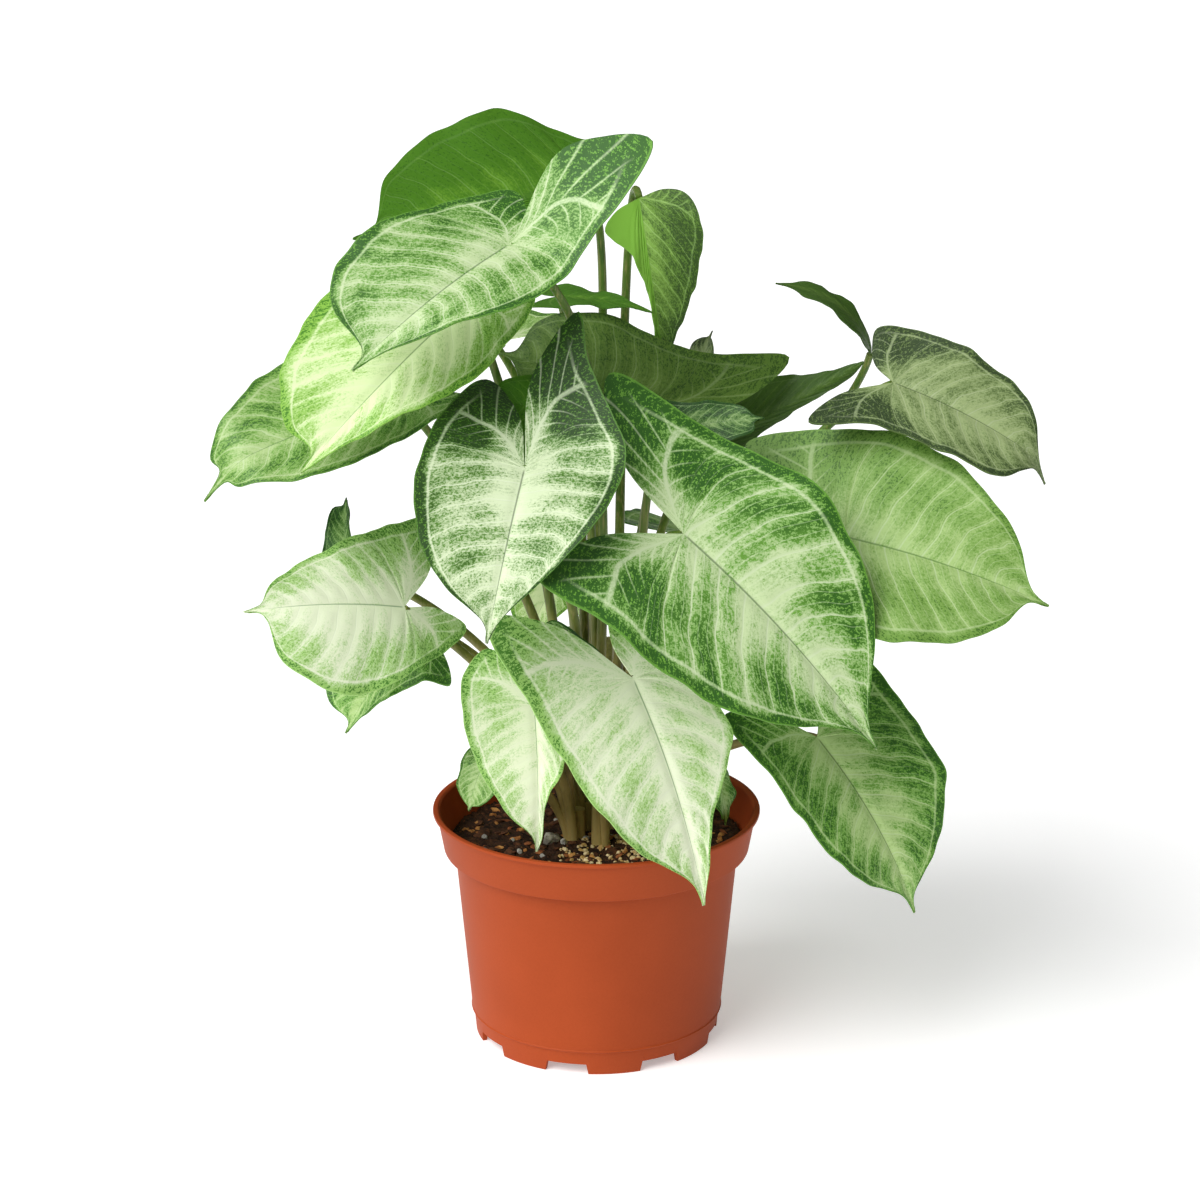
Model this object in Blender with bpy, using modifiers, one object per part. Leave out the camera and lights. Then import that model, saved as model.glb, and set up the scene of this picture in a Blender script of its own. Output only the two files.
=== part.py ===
"""Arrowhead plant in a round plastic nursery pot.

The pot stands on the floor with the middle of its foot at the origin, +Z up,
and the photographed side faces -Y. The driving dimensions are in millimetres.
"""
import math

import bpy
import bmesh
from mathutils import Vector, noise
from mathutils.bvhtree import BVHTree

MM = 0.001
ASSEMBLY = "arrowhead_plant"

# Pot: radii and heights of a 6 inch nursery pot
POT_HEIGHT = 119.5
LIP_RADIUS = 82.5
LIP_THICKNESS = 1.7
BAND_TOP_RADIUS = 80.5
BAND_FOOT_RADIUS = 77.0
BAND_FOOT_HEIGHT = 98.5
WALL_TOP_RADIUS = 71.5
SEAM_RADIUS = 63.8
SEAM_HEIGHT = 12.6
FOOT_RADIUS = 61.8
WALL = 1.6
FLOOR_BOTTOM = 4.5
FLOOR_TOP = 6.5
HUB_RADIUS = 22.0
POT_SIDES = 40

# Slots in the foot, with a drain opening behind each
SLOT_COUNT = 8
SLOT_FIRST_ANGLE = -104.0
SLOT_WIDTH = 25.0
SLOT_HEIGHT = 5.5
DRAIN_WIDTH = 14.0
DRAIN_INNER_RADIUS = 50.0
DRAIN_OUTER_RADIUS = 57.5

# Soil
GAP = 0.3
SOIL_LEVEL = 102.0
SOIL_BOTTOM = 6.8
SOIL_RINGS = 7
SOIL_SECTORS = 32
SOIL_BUMP = 2.2

# Stems stand in plain holes; each petiole grows from one of them
STEM_RADIUS = 5.0
STEM_FOOT = 62.0
STEM_TOP = 132.0
STEM_SIDES = 12
STEMS = {
    "stem_left": (-9, -6),
    "stem_front": (3, -10),
    "stem_right": (14, -5),
    "stem_back_left": (-3, 5),
    "stem_back_right": (9, 7),
}
PETIOLE_BASE_RADIUS = 3.0
PETIOLE_TOP_RADIUS = 2.0
PETIOLE_STEPS = 7
SEAT_START = 4.5
SEAT_TRIES = 14
SEAT_POINTS = 24
SEAT_PACE = 0.5
SEAT_RINGS = ((0, 0.5), (0, 1), (2, 1), (5, 1.05), (9, 1.1), (15, 1.15), (24, 1.2))

# Blades
BLADE_THICKNESS = 0.8
BLADE_ROWS = 12
BLADE_COLUMNS = 3
FAN_SHARE = 0.34
TIP_BACK = 0.09
TIP_HALF_WIDTH = 0.030
EAR = 0.14
EDGE_WAVE = 1.2
HOOK_START = 0.75
CURVE_STEPS = 8

# One entry for each blade. at: where the petiole meets the blade. heading,
# pitch and roll: how the midrib runs, 0 is +X and 90 is +Y. left and right:
# half outlines from the lobe's tip round to near the leaf tip, along the
# midrib and out from it. lifts: how far the two lobes rise.
LEAVES = (
    dict(name="leaf_top_front", at=(-40, -60, 417), heading=216, pitch=-29, roll=-35, length=98,
         left=((-69, 23), (-32, 28), (18, 32), (63, 14)),
         right=((-24, 20), (11, 36), (56, 45), (83, 31)),
         arch=6, fold=0.10, lifts=(30, 5), ears=(0.36, 0.2), bend=(38, -8, -20),
         stem="stem_front"),
    dict(name="leaf_upper_left", at=(-60, -30, 385), heading=217, pitch=-36, roll=-40, length=118,
         left=((-22, 22), (-10, 27), (34, 31), (82, 13)),
         right=((0, 47), (48, 48), (87, 39), (106, 20)),
         arch=6, fold=0.10, lifts=(5, 0), bend=(0, -45, -30), stem="stem_left"),
    dict(name="leaf_far_left", at=(-94, -15, 333), heading=206, pitch=-15, roll=-40, length=104,
         left=((-33, 8), (-1, 19), (48, 27), (90, 12)),
         right=((-20, 44), (16, 44), (64, 33), (95, 13)),
         arch=6, fold=0.05, lifts=(0, 0), hook=20, stem="stem_back_left"),
    dict(name="leaf_centre", at=(-33, -85, 317), heading=247, pitch=-59, roll=-20, length=84,
         left=((-80, 9), (-58, 18), (-13, 45), (29, 34)),
         right=((-46, 29), (-11, 46), (34, 44), (61, 27)),
         arch=8, fold=0.10, lifts=(10, -12), stem="stem_front"),
    dict(name="leaf_big_right", at=(41, -75, 283), heading=345, pitch=-46, roll=40, length=136,
         left=((-79, 30), (-24, 49), (29, 64), (84, 45)),
         right=((-31, 72), (1, 67), (40, 63), (80, 48)),
         arch=8, fold=0.10, lifts=(10, 0), stem="stem_right"),
    dict(name="leaf_front_low", at=(18, -64, 208), heading=313, pitch=-64, roll=15, length=113,
         left=((-35, 2), (-13, 22), (39, 35), (73, 15)),
         right=((-47, 61), (-11, 60), (30, 52), (72, 35)),
         arch=8, fold=0.10, lifts=(10, 0), stem="stem_front"),
    dict(name="leaf_front_small", at=(-30, -45, 188), heading=274, pitch=-74, roll=-10, length=71,
         left=((-6, 14), (6, 19), (29, 13), (47, 4)),
         right=((-28, 22), (-14, 35), (17, 34), (50, 17)),
         arch=5, fold=0.10, lifts=(0, 0), stem="stem_left"),
    dict(name="leaf_right", at=(120, -30, 269), heading=348, pitch=-16, roll=45, length=103,
         left=((-62, 37), (-31, 52), (21, 58), (76, 28)),
         right=((-24, 38), (8, 53), (50, 47), (82, 26)),
         arch=6, fold=0.10, lifts=(0, 0), stem="stem_right"),
    dict(name="leaf_back_right", at=(145, 10, 336), heading=346, pitch=-26, roll=40, length=89,
         left=((-18, 15), (-20, 27), (11, 33), (61, 24)),
         right=((-26, 42), (4, 29), (36, 28), (68, 22)),
         arch=6, fold=0.10, lifts=(0, 0), hook=14, stem="stem_back_right"),
    dict(name="leaf_twisted", at=(139, 64, 339), heading=192, pitch=37, roll=-30, length=63,
         left=((3, 4), (10, 8), (30, 9), (50, 6)),
         right=((3, 4), (10, 7), (30, 8), (50, 5)),
         arch=11, fold=0.0, lifts=(0, 0), stem="stem_back_right"),
    dict(name="leaf_dark_under", at=(60, 58, 293), heading=351, pitch=31, roll=-105, length=87,
         left=((-13, 10), (8, 9), (34, 5), (65, 4)),
         right=((0, 17), (18, 20), (39, 17), (65, 6)),
         arch=4, fold=0.10, lifts=(0, 0), stem="stem_back_right"),
    dict(name="leaf_behind_centre", at=(24, 5, 323), heading=174, pitch=21, roll=-50, length=77,
         left=((-5, 14), (15, 18), (34, 22), (60, 14)),
         right=((-57, 64), (-10, 40), (38, 36), (65, 21)),
         arch=6, fold=0.05, lifts=(0, 0), stem="stem_back_left"),
    dict(name="leaf_small_dark", at=(33, -12, 317), heading=350, pitch=10, roll=60, length=49,
         left=((-6, 16), (11, 12), (27, 10), (40, 6)),
         right=((-6, 15), (17, 14), (37, 9), (44, 6)),
         arch=3, fold=0.10, lifts=(0, 0), stem="stem_right"),
    dict(name="leaf_top_back", at=(-5, 28, 428), heading=197, pitch=-9, roll=-70, length=117,
         left=((12, 14), (35, 6), (73, 2), (103, 2)),
         right=((-34, 18), (-3, 24), (38, 45), (94, 27)),
         arch=6, fold=0.10, lifts=(0, 0), stem="stem_back_left"),
    dict(name="leaf_top_folded", at=(21, 42, 421), heading=332, pitch=-80, roll=60, length=88,
         left=((1, 23), (19, 28), (51, 18), (69, 8)),
         right=((13, 19), (25, 9), (40, 4), (63, 2)),
         arch=5, fold=0.20, lifts=(0, 0), stem="stem_back_right"),
    dict(name="leaf_thin", at=(-18, 34, 374), heading=348, pitch=-7, roll=15, length=47,
         left=((-14, 6), (-3, 10), (18, 7), (34, 4)),
         right=((-11, 15), (3, 14), (22, 9), (35, 4)),
         arch=2, fold=0.10, lifts=(0, 0), bend=(40, 35, 0), stem="stem_back_left"),
    dict(name="leaf_grey_tip", at=(50, 42, 322), heading=27, pitch=76, roll=0, length=33,
         left=((-4, 14), (9, 14), (22, 11), (28, 6)),
         right=((-4, 13), (11, 12), (23, 9), (29, 5)),
         arch=2, fold=0.10, lifts=(0, 0), stem="stem_back_right"),
    dict(name="leaf_curled", at=(-123, -10, 242), heading=84, pitch=83, roll=0, length=40,
         left=((-5, 9), (10, 11), (25, 9), (35, 6)),
         right=((-5, 8), (11, 8), (22, 3), (34, 2)),
         arch=3, fold=0.10, lifts=(0, 0), bend=(15, 40, 10), stem="stem_back_left"),
    dict(name="leaf_left_low", at=(-92, -45, 238), heading=209, pitch=7, roll=-50, length=83,
         left=((-36, 7), (-7, 29), (44, 49), (71, 31)),
         right=((-26, 48), (-3, 43), (35, 29), (69, 12)),
         arch=6, fold=0.10, lifts=(0, 0), bend=(14, -14, 5), stem="stem_left"),
    dict(name="leaf_left_behind", at=(-89, -20, 220), heading=217, pitch=-48, roll=-30, length=62,
         left=((17, 35), (21, 23), (39, 10), (53, 3)),
         right=((-8, 22), (8, 28), (37, 27), (53, 15)),
         arch=4, fold=0.10, lifts=(0, 0), stem="stem_back_left"),
    dict(name="leaf_gap", at=(-10, -35, 325), heading=187, pitch=21, roll=-60, length=44,
         left=((-16, 20), (1, 30), (22, 28), (38, 14)),
         right=((-3, 14), (14, 19), (31, 14), (41, 7)),
         arch=3, fold=0.10, lifts=(0, 0), stem="stem_front"),
    dict(name="leaf_low_right", at=(108, -40, 170), heading=338, pitch=-58, roll=30, length=99,
         left=((-24, 47), (9, 50), (50, 46), (77, 25)),
         right=((-33, 37), (-6, 38), (24, 38), (62, 30)),
         arch=8, fold=0.10, lifts=(0, 0), stem="stem_right"),
    dict(name="leaf_pot_right", at=(60, -14, 140), heading=325, pitch=-76, roll=0, length=25,
         left=((-6, 6), (1, 9), (12, 8), (19, 3)),
         right=((-3, 8), (5, 9), (16, 7), (21, 4)),
         arch=2, fold=0.10, lifts=(0, 0), stem="stem_right"),
    dict(name="leaf_pot_left", at=(-55, -25, 153), heading=220, pitch=-66, roll=-20, length=27,
         left=((-7, 5), (4, 14), (14, 12), (22, 7)),
         right=((-3, 10), (6, 11), (16, 9), (22, 5)),
         arch=2, fold=0.10, lifts=(0, 0), stem="stem_left"),
    dict(name="leaf_dark_low", at=(-3, -33, 195), heading=187, pitch=52, roll=-60, length=43,
         left=((-6, 12), (8, 15), (25, 14), (36, 7)),
         right=((-4, 11), (8, 13), (25, 10), (37, 6)),
         arch=3, fold=0.10, lifts=(0, 0), stem="stem_front"),
    dict(name="leaf_pale_left", at=(-15, 60, 231), heading=196, pitch=-62, roll=-50, length=46,
         left=((-4, 13), (12, 16), (26, 11), (39, 4)),
         right=((-2, 18), (16, 22), (31, 18), (42, 8)),
         arch=3, fold=0.10, lifts=(0, 0), stem="stem_back_left"),
    dict(name="leaf_pale_right", at=(7, 48, 235), heading=194, pitch=-62, roll=-50, length=36,
         left=((-3, 17), (13, 19), (25, 14), (32, 7)),
         right=((0, 15), (14, 18), (27, 14), (33, 8)),
         arch=3, fold=0.10, lifts=(0, 0), stem="stem_back_right"),
    dict(name="leaf_rear_left", at=(-52, 64, 345), heading=128, pitch=-22, roll=-10, length=95,
         left=((-34, 27), (-8, 37), (28, 37), (68, 20)),
         right=((-34, 27), (-8, 37), (28, 37), (68, 20)),
         arch=7, fold=0.10, lifts=(5, 5), stem="stem_back_left"),
    dict(name="leaf_rear_right", at=(52, 98, 235), heading=75, pitch=-25, roll=5, length=105,
         left=((-38, 30), (-9, 41), (31, 41), (75, 22)),
         right=((-38, 30), (-9, 41), (31, 41), (75, 22)),
         arch=8, fold=0.10, lifts=(5, 5), stem="stem_back_right"),
    dict(name="leaf_rear_low", at=(6, 98, 178), heading=98, pitch=-38, roll=0, length=85,
         left=((-30, 24), (-7, 33), (25, 33), (61, 18)),
         right=((-30, 24), (-7, 33), (25, 33), (61, 18)),
         arch=7, fold=0.10, lifts=(5, 5), stem="stem_back_left"),
)


def clear_scene():
    """Start from an empty scene."""
    for thing in list(bpy.data.objects):
        bpy.data.objects.remove(thing, do_unlink=True)


def new_collection(name, cutters=False):
    """A collection in the scene; cutters are shown as wires and never rendered."""
    collection = bpy.data.collections.new(name)
    bpy.context.scene.collection.children.link(collection)
    collection.hide_render = cutters
    return collection


def material(name, colour, roughness):
    """A plain Principled material."""
    mat = bpy.data.materials.new(name)
    mat.use_nodes = True
    shader = mat.node_tree.nodes["Principled BSDF"]
    shader.inputs["Base Color"].default_value = (*colour, 1.0)
    shader.inputs["Roughness"].default_value = roughness
    shader.inputs["Metallic"].default_value = 0.0
    return mat


def add_object(name, mesh, collection, mat=None):
    """Link a mesh as a named object."""
    thing = bpy.data.objects.new(name, mesh)
    collection.objects.link(thing)
    if mat is not None:
        mesh.materials.append(mat)
    return thing


def apply_modifiers(thing):
    """Replace the mesh with its modified shape."""
    graph = bpy.context.evaluated_depsgraph_get()
    mesh = bpy.data.meshes.new_from_object(thing.evaluated_get(graph))
    thing.modifiers.clear()
    old = thing.data
    thing.data = mesh
    bpy.data.meshes.remove(old)
    mesh.name = thing.name


def profile_line(name, points):
    """A line in the XZ plane, in millimetres."""
    mesh = bpy.data.meshes.new(name)
    verts = [(r * MM, 0.0, z * MM) for r, z in points]
    edges = [(i, i + 1) for i in range(len(verts) - 1)]
    mesh.from_pydata(verts, edges, [])
    return mesh


# Pot

def pot_profile():
    """From the inner floor's middle up to the lip, and down outside to the hub."""
    outer = [
        (LIP_RADIUS - 0.5, POT_HEIGHT),
        (LIP_RADIUS, POT_HEIGHT - 0.5),
        (LIP_RADIUS, POT_HEIGHT - LIP_THICKNESS),
        (BAND_TOP_RADIUS, POT_HEIGHT - LIP_THICKNESS - 0.2),
        (BAND_FOOT_RADIUS, BAND_FOOT_HEIGHT + 0.8),
        (BAND_FOOT_RADIUS - 1.0, BAND_FOOT_HEIGHT),
        (WALL_TOP_RADIUS, BAND_FOOT_HEIGHT - 1.2),
        (SEAM_RADIUS, SEAM_HEIGHT),
        (SEAM_RADIUS - 0.9, SEAM_HEIGHT - 1.0),
        (FOOT_RADIUS, 0.0),
    ]
    base = [
        (FOOT_RADIUS - 2.4, 0.0),
        (FOOT_RADIUS - 2.2, FLOOR_BOTTOM),
        (HUB_RADIUS + 1.5, FLOOR_BOTTOM),
        (HUB_RADIUS, 0.0),
        (0.0, 0.0),
    ]
    inner = [
        (0.0, FLOOR_TOP),
        (FOOT_RADIUS - WALL, FLOOR_TOP),
        (SEAM_RADIUS - WALL, SEAM_HEIGHT),
        (WALL_TOP_RADIUS - WALL, BAND_FOOT_HEIGHT - 0.6),
        (BAND_FOOT_RADIUS - WALL - 0.6, BAND_FOOT_HEIGHT + 1.6),
        (BAND_TOP_RADIUS - WALL, POT_HEIGHT - 1.0),
        (LIP_RADIUS - 2.4, POT_HEIGHT),
    ]
    return inner + outer + base


def make_pot(collection, cutters, mat):
    """Revolve the pot, then cut the slots and the drain openings."""
    pot = add_object("pot", profile_line("pot", pot_profile()), collection, mat)
    screw = pot.modifiers.new("turn", "SCREW")
    screw.steps = POT_SIDES
    screw.render_steps = POT_SIDES
    screw.use_merge_vertices = True
    screw.merge_threshold = 0.00005
    screw.use_normal_calculate = True
    apply_modifiers(pot)
    outward(pot.data)
    for index in range(SLOT_COUNT):
        angle = math.radians(SLOT_FIRST_ANGLE + index * 360.0 / SLOT_COUNT)
        slot = prism_cutter(f"slot_{index}", slot_corners(-2.0, 0.0),
                            slot_corners(SLOT_HEIGHT, 1.5), angle, cutters)
        drain = prism_cutter(f"drain_{index}", drain_corners(1.0),
                             drain_corners(FLOOR_TOP + 2.0), angle, cutters)
        for cutter in (slot, drain):
            cut = pot.modifiers.new(cutter.name, "BOOLEAN")
            cut.operation = "DIFFERENCE"
            cut.solver = "EXACT"
            cut.object = cutter
    apply_modifiers(pot)
    smooth(pot.data)
    return pot


def slot_corners(z, narrowing):
    """A slot's outline across the foot ring, wider outside."""
    half = SLOT_WIDTH / 2 - narrowing
    inner, outer = DRAIN_OUTER_RADIUS, FOOT_RADIUS + 6
    return [(inner, 1.5 - half, z), (outer, -half, z), (outer, half, z), (inner, half - 1.5, z)]


def drain_corners(z):
    """A drain opening's outline in the floor."""
    half = DRAIN_WIDTH / 2
    inner, outer = DRAIN_INNER_RADIUS, DRAIN_OUTER_RADIUS + 0.5
    return [(inner, -half, z), (outer, -half, z), (outer, half, z), (inner, half, z)]


def prism_cutter(name, low, high, angle, cutters):
    """A prism between two rings of corners, turned about the pot's axis."""
    bm = bmesh.new()
    rings = [[bm.verts.new(Vector(p) * MM) for p in ring] for ring in (low, high)]
    close_prism(bm, rings)
    bmesh.ops.recalc_face_normals(bm, faces=bm.faces)
    mesh = bpy.data.meshes.new(name)
    bm.to_mesh(mesh)
    bm.free()
    cutter = add_object(name, mesh, cutters)
    cutter.rotation_euler.z = angle
    return cutter


def close_prism(bm, rings):
    """Faces of a prism between a lower and an upper ring."""
    low, high = rings
    count = len(low)
    bm.faces.new(low[::-1])
    bm.faces.new(high)
    for i in range(count):
        j = (i + 1) % count
        bm.faces.new((low[i], low[j], high[j], high[i]))


def outward(mesh):
    """Turn all faces outward."""
    bm = bmesh.new()
    bm.from_mesh(mesh)
    bmesh.ops.recalc_face_normals(bm, faces=bm.faces)
    bm.to_mesh(mesh)
    bm.free()


def smooth(mesh):
    """Shade every face smooth."""
    for face in mesh.polygons:
        face.use_smooth = True


# Soil

def soil_height(x, y):
    """Height of the soil's surface over a point, in millimetres."""
    coarse = noise.noise(Vector((x / 16.0, y / 16.0, 3.7)))
    fine = noise.noise(Vector((x / 6.0, y / 6.0, 9.1)))
    mound = 2.0 * math.exp(-(x * x + y * y) / 900.0)
    return SOIL_LEVEL + mound + SOIL_BUMP * (0.7 * coarse + 0.5 * fine)


def soil_side():
    """Radius and height of the soil's side, a gap inside the pot's wall."""
    top = BAND_FOOT_RADIUS - WALL - 0.6 - GAP
    return [
        (FOOT_RADIUS - WALL - GAP - 0.3, SOIL_BOTTOM),
        (SEAM_RADIUS - WALL - GAP - 0.2, SEAM_HEIGHT + 0.6),
        (WALL_TOP_RADIUS - WALL - GAP - 0.3, BAND_FOOT_HEIGHT - 0.6),
        (top - 0.2, BAND_FOOT_HEIGHT + 2.2),
    ]


def make_soil(collection, cutters, mat):
    """A plug with a crumbly top, and a plain hole for each stem."""
    bm = bmesh.new()
    side = soil_side()
    rings = []
    top_radius = side[-1][0]
    for ring in range(SOIL_RINGS, 0, -1):
        radius = top_radius * ring / SOIL_RINGS
        loop = []
        for step in range(SOIL_SECTORS):
            turn = math.tau * step / SOIL_SECTORS
            x, y = radius * math.cos(turn), radius * math.sin(turn)
            z = soil_height(x, y) if ring < SOIL_RINGS else side[-1][1]
            loop.append(bm.verts.new(Vector((x, y, z)) * MM))
        rings.append(loop)
    below = []
    for radius, z in reversed(side[:-1]):
        loop = []
        for step in range(SOIL_SECTORS):
            turn = math.tau * step / SOIL_SECTORS
            loop.append(bm.verts.new(Vector((radius * math.cos(turn), radius * math.sin(turn), z)) * MM))
        below.append(loop)
    loops = list(reversed(rings)) + below
    for upper, lower in zip(loops, loops[1:]):
        for i in range(SOIL_SECTORS):
            j = (i + 1) % SOIL_SECTORS
            bm.faces.new((upper[i], lower[i], lower[j], upper[j]))
    centre = bm.verts.new(Vector((0, 0, soil_height(0, 0))) * MM)
    for i in range(SOIL_SECTORS):
        bm.faces.new((centre, loops[0][i], loops[0][(i + 1) % SOIL_SECTORS]))
    bm.faces.new(loops[-1][::-1])
    bmesh.ops.recalc_face_normals(bm, faces=bm.faces)
    bmesh.ops.triangulate(bm, faces=bm.faces)
    mesh = bpy.data.meshes.new("soil")
    bm.to_mesh(mesh)
    bm.free()
    soil = add_object("soil", mesh, collection, mat)
    for name, place in STEMS.items():
        hole = cylinder(name + "_hole", cutters, place, STEM_RADIUS + GAP,
                        STEM_FOOT - 2 * GAP, STEM_TOP)
        cut = soil.modifiers.new("stem hole", "BOOLEAN")
        cut.operation = "DIFFERENCE"
        cut.solver = "EXACT"
        cut.object = hole
    apply_modifiers(soil)
    return soil


def cylinder(name, collection, place, radius, foot, top):
    """An upright cylinder, in millimetres."""
    mesh = bpy.data.meshes.new(name)
    bm = bmesh.new()
    bmesh.ops.create_cone(bm, cap_ends=True, segments=STEM_SIDES, radius1=radius * MM,
                          radius2=radius * MM, depth=(top - foot) * MM)
    middle = Vector((place[0], place[1], (top + foot) / 2)) * MM
    bmesh.ops.translate(bm, verts=bm.verts, vec=middle)
    bm.to_mesh(mesh)
    bm.free()
    return add_object(name, mesh, collection)


# Blades

def leaf_axes(leaf):
    """Directions along the midrib, to the leaf's left, and out of its upper face."""
    heading, pitch, roll = (math.radians(leaf[key]) for key in ("heading", "pitch", "roll"))
    along = Vector((math.cos(heading) * math.cos(pitch), math.sin(heading) * math.cos(pitch),
                    math.sin(pitch)))
    level = Vector((-math.sin(heading), math.cos(heading), 0.0))
    above = along.cross(level)
    left = math.cos(roll) * level + math.sin(roll) * above
    return along, left, along.cross(left)


def knot_step(p, q):
    """Spacing of two knots of a centripetal curve."""
    return max((q - p).length ** 0.5, 1e-6)


def smooth_line(points):
    """A fine line along the centripetal curve through the given points."""
    ends = [2 * points[0] - points[1]] + points + [2 * points[-1] - points[-2]]
    line = [points[0]]
    for p0, p1, p2, p3 in zip(ends, ends[1:], ends[2:], ends[3:]):
        k1 = knot_step(p0, p1)
        k2 = k1 + knot_step(p1, p2)
        k3 = k2 + knot_step(p2, p3)
        for step in range(1, CURVE_STEPS + 1):
            k = k1 + (k2 - k1) * step / CURVE_STEPS
            a1 = p0.lerp(p1, k / k1)
            a2 = p1.lerp(p2, (k - k1) / (k2 - k1))
            a3 = p2.lerp(p3, (k - k2) / (k3 - k2))
            b1 = a1.lerp(a2, k / k2)
            b2 = a2.lerp(a3, (k - k1) / (k3 - k1))
            line.append(b1.lerp(b2, (k - k1) / (k2 - k1)))
    return line


def walk(line, share):
    """The point at a share of the line's length."""
    steps = [(q - p).length for p, q in zip(line, line[1:])]
    rest = share * sum(steps)
    for step, p, q in zip(steps, line, line[1:]):
        if rest <= step:
            return p.lerp(q, rest / step)
        rest -= step
    return line[-1]


def half_outline(leaf, side):
    """The lobe's inner edge from the sinus, and the outer margin on to the tip."""
    points = [Vector(p) for p in leaf["left" if side > 0 else "right"]]
    length = leaf["length"]
    ear = leaf.get("ears", (EAR, EAR))[0 if side > 0 else 1]
    sinus = Vector((0.0, 0.0))
    lobe = points[0]
    inner = 0.55 * lobe + ear * Vector((-lobe.y, lobe.x))
    near_tip = Vector((length * (1 - TIP_BACK), length * TIP_HALF_WIDTH))
    tip = Vector((length, 0.0))
    line = smooth_line([sinus, inner] + points + [near_tip, tip])
    at_lobe = 2 * CURVE_STEPS
    return line[:at_lobe + 1], line[at_lobe:]


def flat_point(leaf, outline, s, t):
    """Where row s and column t lie in the leaf's plane, before it is bent."""
    inner_edge, margin = outline
    edge = walk(margin, s)
    rib_share = max(0.0, (s - FAN_SHARE) / (1 - FAN_SHARE))
    rib = Vector((leaf["length"] * rib_share, 0.0))
    place = rib.lerp(edge, t)
    if s < FAN_SHARE:
        bow = walk(inner_edge, t) - inner_edge[-1] * t
        place += bow * (1 - s / FAN_SHARE) ** 2
    return place


def relief(leaf, point, side, s, t):
    """How far the blade stands over its flat plane."""
    length = leaf["length"]
    u = point.x / length
    height = 4 * leaf["arch"] * u * ((1 - u) if u > 0 else 1.0)
    height += leaf["fold"] * abs(point.y)
    if point.x < 0:
        lift = leaf["lifts"][0 if side > 0 else 1]
        height += lift * (-2 * u) ** 1.5
    if u > HOOK_START:
        height -= leaf.get("hook", 0) * ((u - HOOK_START) / (1 - HOOK_START)) ** 2
    wave = math.sin(math.tau * (2.5 * s) + side * 1.3 + leaf["heading"])
    return height + EDGE_WAVE * wave * t * t * math.sin(math.pi * s)


def blade_surface(leaf):
    """The upper face as triangles, both halves joined along the midrib."""
    along, left, out = leaf_axes(leaf)
    origin = Vector(leaf["at"])
    bm = bmesh.new()
    for side in (1, -1):
        outline = half_outline(leaf, side)
        grid = []
        for row in range(BLADE_ROWS + 1):
            s = row / BLADE_ROWS
            line = []
            for column in range(BLADE_COLUMNS + 1):
                t = column / BLADE_COLUMNS
                p = flat_point(leaf, outline, s, t)
                z = relief(leaf, p, side, s, t)
                place = origin + along * p.x + left * (side * p.y) + out * z
                line.append(bm.verts.new(place * MM))
            grid.append(line)
        add_grid_faces(bm, grid, side)
    bmesh.ops.remove_doubles(bm, verts=bm.verts, dist=0.00002)
    mesh = bpy.data.meshes.new(leaf["name"])
    bm.to_mesh(mesh)
    bm.free()
    return mesh


def add_grid_faces(bm, grid, side):
    """Two triangles for each cell, one where a row has shrunk to a point."""
    for upper, lower in zip(grid, grid[1:]):
        for i in range(len(upper) - 1):
            corners = [upper[i], upper[i + 1], lower[i + 1], lower[i]]
            if side > 0:
                corners.reverse()
            a, b, c, d = corners
            for triple in ((a, b, c), (a, c, d)):
                if triangle_size(triple) > 1e-9:
                    bm.faces.new(triple)


def triangle_size(triple):
    """Twice the area of a triangle."""
    a, b, c = (v.co for v in triple)
    return (b - a).cross(c - a).length


def make_blade(leaf, collection, mat):
    """Thicken the upper face downward."""
    blade = add_object(leaf["name"], blade_surface(leaf), collection, mat)
    solid = blade.modifiers.new("thickness", "SOLIDIFY")
    solid.thickness = BLADE_THICKNESS * MM
    solid.offset = -1.0
    apply_modifiers(blade)
    smooth(blade.data)
    return blade


# Stems and petioles

def curve_point(path, u):
    """A point of the Bezier curve through four control points."""
    start, leave, arrive, end = path
    v = 1 - u
    return v ** 3 * start + 3 * v * v * u * leave + 3 * v * u * u * arrive + u ** 3 * end


def petiole_path(leaf, blade):
    """Control points from the stem's foot above the soil to under the sinus."""
    along, left, out = leaf_axes(leaf)
    root = STEMS[leaf["stem"]]
    start = Vector((root[0], root[1], SOIL_LEVEL - 6))
    end = Vector(leaf["at"]) - out * SEAT_START
    reach = (end - start).length
    leave = start + Vector((0, 0, 0.45 * reach))
    under = -0.18 * reach * out - 0.10 * reach * along + Vector(leaf.get("bend", (0, 0, 0)))
    last = curve_point((start, leave, end + under, end), 1 - 1 / PETIOLE_STEPS)
    lift = seat_lift(end, (last - end).normalized(), out, blade)
    end += out * lift
    return start, leave, end + under, end


def end_points(end, backward):
    """Points on the petiole's end and on its side a little way down."""
    side = backward.orthogonal().normalized()
    across = backward.cross(side)
    points = [end]
    for back, share in SEAT_RINGS:
        for step in range(SEAT_POINTS):
            turn = math.tau * step / SEAT_POINTS
            rim = math.cos(turn) * side + math.sin(turn) * across
            points.append(end + back * backward + share * PETIOLE_TOP_RADIUS * rim)
    return points


def seat_lift(end, backward, out, blade):
    """How far the petiole's end may rise until it is one gap off the blade."""
    mesh = blade.data
    faces = [tuple(face.vertices) for face in mesh.polygons]
    tree = BVHTree.FromPolygons([v.co for v in mesh.vertices], faces)
    points = end_points(end, backward)
    lift = 0.0
    for _ in range(SEAT_TRIES):
        places = [(point + out * lift) * MM for point in points]
        nearest = min(tree.find_nearest(place)[3] for place in places) / MM
        lift += SEAT_PACE * (nearest - GAP)
    return lift


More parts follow.
